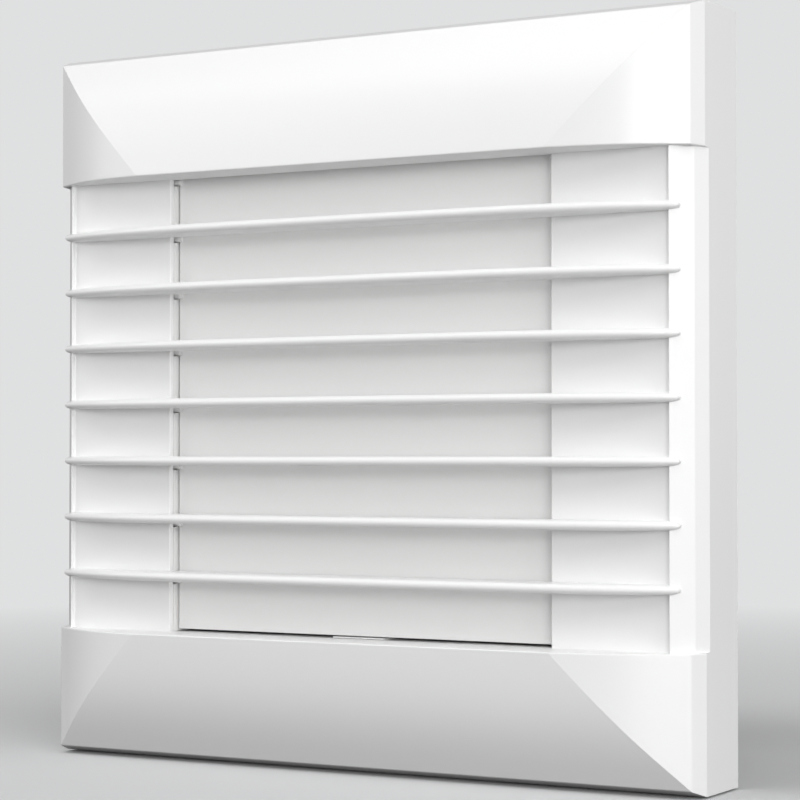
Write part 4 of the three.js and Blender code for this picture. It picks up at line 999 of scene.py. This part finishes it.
class FAN_OT_shroud(bpy.types.Operator):
    """Models the outer shroud and the weather louvre in its end"""
    bl_idname = "exhaust_fan.shroud"
    bl_label = "Shroud and Louvre"

    def execute(self, context):
        s = fan().case
        a, b = low("outer_shroud"), high("outer_shroud")
        seat, flange, w = low("weather_louvre").y, a.y + 3 * MM, s.duct_wall
        profile = [(s.shroud_bore, a.y), (b.x, a.y), (b.x, flange), (s.shroud_wide, flange),
                   (s.shroud_end, b.y), (s.shroud_end - w, b.y), (s.shroud_end - w, seat - MM),
                   (s.shroud_wide - w, flange), (s.shroud_bore, flange)]
        shell = turned("shroud_shell", softened(profile, 0.5 * MM))
        for place in spots(s.clamp_circle, 90):
            ends = at_y(place, flange - MM), at_y(place, flange + 4 * MM)
            combined(shell, rod("boss", "y", 4.4 * MM, *ends, 48), "UNION")
        cut(shell, drill(Vector(), s.shroud_bore, a.y - MM, flange + 5 * MM, 96))
        for place in spots(s.clamp_circle, 90):
            cut(shell, drill(place, CLAMP_HOLE, a.y - MM, flange + 5 * MM))
        cut(shell, drill(lead_place(), LEAD_HOLE, a.y - MM, flange + MM))
        finished(shell, MATERIALS["white_satin"], stands_for=["outer_shroud"])

        a, b = low("weather_louvre"), high("weather_louvre")
        outer = b.x
        rim = turned("louvre_grille", softened(ring_profile(outer - 2 * MM, outer, a, b), 0.4 * MM))
        deep, thick = s.louvre_depth / 2, s.louvre_wall / 2
        section = softened([(-deep, -thick), (deep, -thick), (deep, thick), (-deep, thick)], 0.5 * MM)
        cos, sin = math.cos(s.louvre_tilt), math.sin(s.louvre_tilt)
        blades = []
        for i in range(6):
            z = (i - 2.5) * s.louvre_pitch
            middle = (a.y + b.y) / 2
            points = [(-outer, middle + y * cos + t * sin, z - y * sin + t * cos) for y, t in section]
            slope = extruded("louvre_blade", points, (2 * outer, 0, 0))
            blades.append(combined(slope, drill(Vector(), outer - MM, a.y, b.y, 96), "INTERSECT"))
        finished(joined(rim, *blades), MATERIALS["white_satin"], stands_for=["weather_louvre"])
        return {"FINISHED"}


class FAN_OT_guard(bpy.types.Operator):
    """Models the finger guard and the motor bracket in the duct"""
    bl_idname = "exhaust_fan.guard"
    bl_label = "Guard and Bracket"

    def execute(self, context):
        s = fan().case
        a, b = low("finger_guard"), high("finger_guard")
        outer, y, r = b.x, (a.y + b.y) / 2, s.guard_bar / 2
        rim = turned("guard_grille", softened(ring_profile(outer - 2.5 * MM, outer, a, b), 0.4 * MM))
        wires = []
        for i in (1, 2, 3):
            deselect()
            bpy.ops.mesh.primitive_torus_add(major_radius=outer * i / 4, minor_radius=r, major_segments=96,
                                             minor_segments=14, location=(0, y, 0),
                                             rotation=(math.pi / 2, 0, 0))
            wires.append(added("wire"))
        for i in range(3):
            bar = rod("bar", "x", r, (MM - outer, y, 0), (outer - MM, y, 0), 20)
            bar.data.transform(Matrix.Rotation(math.radians(60 * i), 4, "Y"))
            wires.append(bar)
        finished(joined(rim, *wires), MATERIALS["dark_plastic"], stands_for=["finger_guard"])

        a, b = low("motor_bracket"), high("motor_bracket")
        body = rod("bracket_arms", "y", 20 * MM, (0, a.y, 0), (0, b.y, 0), 96)
        for i, place in enumerate(spots(s.pad_circle, 30)):
            arm = block("arm", (15 * MM, a.y, -3 * MM), (s.pad_circle, b.y, 3 * MM))
            arm.data.transform(Matrix.Rotation(-math.radians(30 + 120 * i), 4, "Y"))
            combined(body, arm, "UNION")
            combined(body, rod("end", "y", 4 * MM, at_y(place, a.y), at_y(place, b.y), 48), "UNION")
        rounded(body, 0.4 * MM, 2, 40)
        for place in (*spots(s.pad_circle, 30), *spots(14 * MM, 0, 2)):
            cut(body, drill(place, SCREW_HOLE, a.y - MM, b.y + MM))
        finished(body, MATERIALS["grey_plastic"], stands_for=["motor_bracket"])
        return {"FINISHED"}


# ---------------------------------------------------------------- motor and impeller
class FAN_OT_motor(bpy.types.Operator):
    """Models the two halves of the motor case, the shaft and its retainer"""
    bl_idname = "exhaust_fan.motor"
    bl_label = "Motor"

    def execute(self, context):
        for node, way in (("motor_front_shell", 1), ("motor_rear_shell", -1)):
            a, b = low(node), high(node)
            start = a.y if way > 0 else b.y
            tall = (b.y - a.y) / MM
            profile = metres((2.8, 0), (9, 0), (9.6, 0.5), (15.5, 0.5), (16.2, 0), (18.6, 0), (20, 1.4),
                             (20, 12.6), (19.6, 13), (19.6, 14), (20, 14.4), (20, tall), (18.5, tall),
                             (18.5, 1.9), (17.8, 1.5), (9.3, 1.5),
                             (9.3, 5.5), (7.8, 5.5), (7.8, 1.5), (2.8, 1.5))
            points = [(r, start + way * d) for r, d in softened(profile, 0.3 * MM)]
            shell = turned(node.replace("shell", "case"), points)
            if way < 0:
                for place in spots(14 * MM, 0, 2):
                    cut(shell, drill(place, SCREW_HOLE, b.y - 5 * MM, b.y + MM))
                port = rod("port", "x", 1.9 * MM, (17 * MM, 44 * MM, 0), (21.5 * MM, 44 * MM, 0), 24)
                port.data.transform(Matrix.Rotation(-math.radians(LEAD_TURN), 4, "Y"))
                cut(shell, port)
            finished(shell, MATERIALS["motor_steel"], stands_for=[node])
        a, b = low("motor_shaft"), high("motor_shaft")
        outline = softened(ring_profile(0, b.x, a, b), 0.4 * MM, closed=False)
        shaft = turned("shaft_rod", outline, 48, closed=False)
        finished(shaft, MATERIALS["steel"], "rotor", ["motor_shaft"])
        a, b = low("impeller_retainer"), high("impeller_retainer")
        washer = turned("retainer_ring", softened(ring_profile(2.65 * MM, b.x, a, b), 0.3 * MM), 48)
        finished(washer, MATERIALS["steel"], "rotor", ["impeller_retainer"])
        return {"FINISHED"}


def blade(s, middle):
    """One blade: a thin bowed section at the hub, pushed out step by step while it turns and grows."""
    steps, half = 12, 10
    root = s.hub - 0.5 * MM
    out = (s.tip + 1.5 * MM - root) / steps
    share_of = lambda t: 0.78 + (1.1 - 0.78) * t

    def section_point(c, side):
        """Point of the root section at c, from -1 to 1 along the chord, on one side of it."""
        chord = c * s.chord / 2 * share_of(0)
        across = s.camber * (1 - c * c) + side * s.blade / 2 * (1 - c * c * 0.8) ** 0.5
        cos, sin = math.cos(s.root_pitch), math.sin(s.root_pitch)
        return (root, middle + chord * sin + across * cos, chord * cos - across * sin)

    outline = [section_point(i / half, 1) for i in range(-half, half + 1)]
    outline += [section_point(i / half, -1) for i in range(half, -half - 1, -1)]
    piece = drawn("blade", outline)
    editing(piece)
    for i in range(1, steps + 1):
        a, b = (i - 1) / steps, i / steps
        shift = s.sweep * (b * b - a * a)
        bpy.ops.mesh.extrude_region_move(TRANSFORM_OT_translate={"value": (out, 0, shift)})
        centre_now = (root + out * i, middle, s.sweep * b * b)
        grow = share_of(b) / share_of(a)
        bpy.ops.transform.resize(value=(1, grow, grow), center_override=centre_now)
        bpy.ops.transform.rotate(value=TURN_SIGN * (s.root_pitch - s.tip_pitch) / steps, orient_axis="X",
                                 orient_type="GLOBAL", center_override=centre_now)
    return outward(piece)


TURN_SIGN = -1      # with no window, the rotate operator turns the other way


class FAN_OT_impeller(bpy.types.Operator):
    """Models the impeller: a cup-shaped hub with twisted blades round it"""
    bl_idname = "exhaust_fan.impeller"
    bl_label = "Impeller"

    def execute(self, context):
        s = fan().rotor
        a, b = low("impeller"), high("impeller")
        front, back, inner = a.y, b.y, s.hub - s.hub_wall
        profile = [(2.65 * MM, front), (s.hub - s.chamfer, front), (s.hub, front + s.chamfer), (s.hub, back),
                   (inner, back),
                   (inner, front + s.chamfer + 0.5 * MM), (s.hub - s.chamfer - MM, front + s.hub_wall),
                   (s.boss, front + s.hub_wall), (s.boss, front + 4.5 * MM), (2.65 * MM, front + 4.5 * MM)]
        hub = turned("impeller_wheel", softened(profile, 0.8 * MM, steps=4))
        first = blade(s, (front + back) / 2)
        combined(first, drill(Vector(), s.tip, front, back, 96), "INTERSECT")
        rounded(first, 0.25 * MM, 2, 50)
        blades = [copied(first, "blade", turn=2 * math.pi * i / s.blades) for i in range(1, s.blades)]
        wheel = joined(hub, first, *blades)
        finished(wheel, MATERIALS["grey_plastic"], "rotor", ["impeller"])
        return {"FINISHED"}


# ---------------------------------------------------------------- leads
def on_circle(radius, y):
    """Place at the leads' angle round the fan's axis, in millimetres."""
    turn = math.radians(LEAD_TURN)
    return (radius * math.cos(turn), y, radius * math.sin(turn))


class FAN_OT_leads(bpy.types.Operator):
    """Models the motor's lead and the actuator's lead along their routes"""
    bl_idname = "exhaust_fan.leads"
    bl_label = "Leads"

    def execute(self, context):
        x, _, z = on_circle(LEAD_CIRCLE, 0)
        across = [on_circle(20 + 40.5 * part, 44) for part in (0.25, 0.53, 0.82, 0.98)]
        top = high("terminal_block").z / MM + 1.3
        down = [(x, -8.75, z + (top - z) * part) for part in (0.5, 0.9, 1)]
        route = [on_circle(18, 44), *across, on_circle(63.4, 43),
                 *(on_circle(LEAD_CIRCLE, y) for y in (40.5, 30.3, 15, 2, -2.3)),
                 (x, -6.5, z - 0.4), (x, -8.15, z - 2.4), *down]
        motor = tube("motor_cable", smooth_path(route), 1.6 * MM)
        finished(motor, MATERIALS["dark_plastic"], stands_for=["motor_lead"], smooth=60)
        a, b = low("actuator_lead"), high("actuator_lead")
        z = (a.z + b.z) / 2 / MM
        start, end = b.x / MM, a.x / MM
        floor_run = lambda part: start + (end - start) * part
        y = centre("actuator_body").y / MM
        route = [(start, y, z), (floor_run(0.1), y + 0.6, z), (floor_run(0.25), (y - 7.5) / 2, z),
                 *((floor_run(part), -7.5, z) for part in (0.42, 0.68, 0.85, 1))]
        actuator = tube("actuator_cable", smooth_path(route), 1.3 * MM)
        finished(actuator, MATERIALS["dark_plastic"], stands_for=["actuator_lead"], smooth=60)
        return {"FINISHED"}


# ---------------------------------------------------------------- the CAD nodes that stay
class FAN_OT_frame_finish(bpy.types.Operator):
    """Gives every CAD node that stays its own finish"""
    bl_idname = "exhaust_fan.frame_finish"
    bl_label = "Frame Finish"

    def execute(self, context):
        for part in frame["record"]["subparts"]:
            node = frame["nodes"][part["node"]]
            node.data.materials.clear()
            node.data.materials.append(MATERIALS[part["material_slot"]])
        return {"FINISHED"}


# ---------------------------------------------------------------- stage
def camera_lit(material, seen, lit):
    """Shows one brightness to the camera and another to the light that meets the object."""
    nodes, links = material.node_tree.nodes, material.node_tree.links
    blend = nodes.new("ShaderNodeMixShader")
    links.new(nodes.new("ShaderNodeLightPath").outputs["Is Camera Ray"], blend.inputs[0])
    links.new(lit, blend.inputs[1])
    links.new(seen, blend.inputs[2])
    return blend.outputs[0]


def glow(nodes, kind, colour_of, strength=1.0):
    node = nodes.new(kind)
    node.inputs["Color"].default_value = (*colour_of, 1)
    if "Strength" in node.inputs:
        node.inputs["Strength"].default_value = strength
    return node.outputs[0]


def area_lamp(name, at, target, size, power, tint=(1, 1, 1)):
    deselect()
    bpy.ops.object.light_add(type="AREA", location=at)
    lamp = bpy.context.object
    lamp.name = lamp.data.name = name
    lamp.data.shape = "RECTANGLE"
    lamp.data.size, lamp.data.size_y = size
    lamp.data.energy = power
    lamp.data.color = tint
    lamp.rotation_euler = (Vector(target) - Vector(at)).to_track_quat("-Z", "Y").to_euler()
    return lamp


class FAN_OT_stage(bpy.types.Operator):
    """Sets the camera, the pale floor and the soft studio light"""
    bl_idname = "exhaust_fan.stage"
    bl_label = "Stage"

    def execute(self, context):
        s = fan().stage
        scene = context.scene
        scene.view_settings.view_transform = "Standard"

        deselect()
        bpy.ops.object.camera_add(location=s.camera)
        camera = context.object
        camera.name = "Camera"
        camera.rotation_euler = Vector(s.aim).to_track_quat("-Z", "Y").to_euler()
        camera.data.lens = s.lens
        camera.data.sensor_width = 36
        camera.data.clip_start, camera.data.clip_end = 0.01, 50
        scene.camera = camera

        world = bpy.data.worlds.new("Studio")
        scene.world = world
        world.use_nodes = True
        nodes, links = world.node_tree.nodes, world.node_tree.links
        nodes.remove(nodes["Background"])
        lit = glow(nodes, "ShaderNodeBackground", (1, 1, 1), s.ambient)
        seen = glow(nodes, "ShaderNodeBackground", s.backdrop)
        links.new(camera_lit(world, seen, lit), nodes["World Output"].inputs["Surface"])

        deselect()
        bpy.ops.mesh.primitive_plane_add(size=12, location=(0, 0, CAD_BOX[0][2] - 0.5 * MM))
        floor = context.object
        floor.name = "Floor"
        material = bpy.data.materials.new("Pale Floor")
        material.use_nodes = True
        nodes, links = material.node_tree.nodes, material.node_tree.links
        nodes.remove(nodes["Principled BSDF"])
        distance = nodes.new("ShaderNodeVectorMath")
        distance.operation = "LENGTH"
        links.new(nodes.new("ShaderNodeTexCoord").outputs["Object"], distance.inputs[0])
        blend = nodes.new("ShaderNodeMixShader")
        links.new(ranged(nodes, links, distance.outputs["Value"], 0, 1, 0.15, 0.7), blend.inputs[0])
        links.new(glow(nodes, "ShaderNodeBsdfDiffuse", s.backdrop), blend.inputs[1])
        links.new(glow(nodes, "ShaderNodeEmission", s.backdrop), blend.inputs[2])
        dull = glow(nodes, "ShaderNodeBsdfDiffuse", s.floor)
        links.new(camera_lit(material, blend.outputs[0], dull), nodes["Material Output"].inputs["Surface"])
        floor.data.materials.append(material)

        lamps = (("Key", 40, 45, 0.9, s.key), ("Right", 80, 10, 0.9, s.right), ("Left", -50, 20, 0.9, s.left),
                 ("High", -40, 55, 0.9, s.high), ("Front", 40, 5.5, 0.49, s.front))
        for name, azimuth, elevation, tall, power in lamps:
            around, up = math.radians(azimuth), math.radians(elevation)
            level = math.cos(up)
            at = Vector((math.sin(around) * level, -math.cos(around) * level, math.sin(up))) * s.away
            area_lamp(name, at, (0, 0, 0), (0.9, tall), power)
        return {"FINISHED"}


# ---------------------------------------------------------------- panel, registration and the run
OPERATORS = (FAN_OT_cover, FAN_OT_slats, FAN_OT_flaps, FAN_OT_screws, FAN_OT_actuator, FAN_OT_housing,
             FAN_OT_gaskets, FAN_OT_shroud, FAN_OT_guard, FAN_OT_motor, FAN_OT_impeller, FAN_OT_leads,
             FAN_OT_frame_finish, FAN_OT_stage)


class FanSettings(bpy.types.PropertyGroup):
    cover: bpy.props.PointerProperty(type=CoverSizes)
    slat: bpy.props.PointerProperty(type=SlatSizes)
    flap: bpy.props.PointerProperty(type=FlapSizes)
    case: bpy.props.PointerProperty(type=CaseSizes)
    rotor: bpy.props.PointerProperty(type=RotorSizes)
    colours: bpy.props.PointerProperty(type=FanColours)
    stage: bpy.props.PointerProperty(type=StageSettings)


class FAN_PT_sidebar(bpy.types.Panel):
    """Lists the fan's pieces and their settings"""
    bl_idname = "FAN_PT_sidebar"
    bl_label = "Exhaust Fan"
    bl_space_type = "VIEW_3D"
    bl_region_type = "UI"
    bl_category = "Exhaust Fan"

    def draw(self, context):
        for operator in OPERATORS:
            self.layout.operator(operator.bl_idname)
        for name, group in GROUPS.items():
            box = self.layout.box()
            box.label(text=name.capitalize())
            for key in group.__annotations__:
                box.prop(getattr(fan(), name), key)


CLASSES = (*GROUPS.values(), FanSettings, *OPERATORS, FAN_PT_sidebar)


def register():
    for cls in CLASSES:
        bpy.utils.register_class(cls)
    bpy.types.Scene.exhaust_fan = bpy.props.PointerProperty(type=FanSettings)


def unregister():
    del bpy.types.Scene.exhaust_fan
    for cls in reversed(CLASSES):
        bpy.utils.unregister_class(cls)


def main():
    register()
    deselect()
    make_materials()
    for operator in OPERATORS:
        group, name = operator.bl_idname.split(".")
        getattr(getattr(bpy.ops, group), name)()


if __name__ == "__main__":
    main()
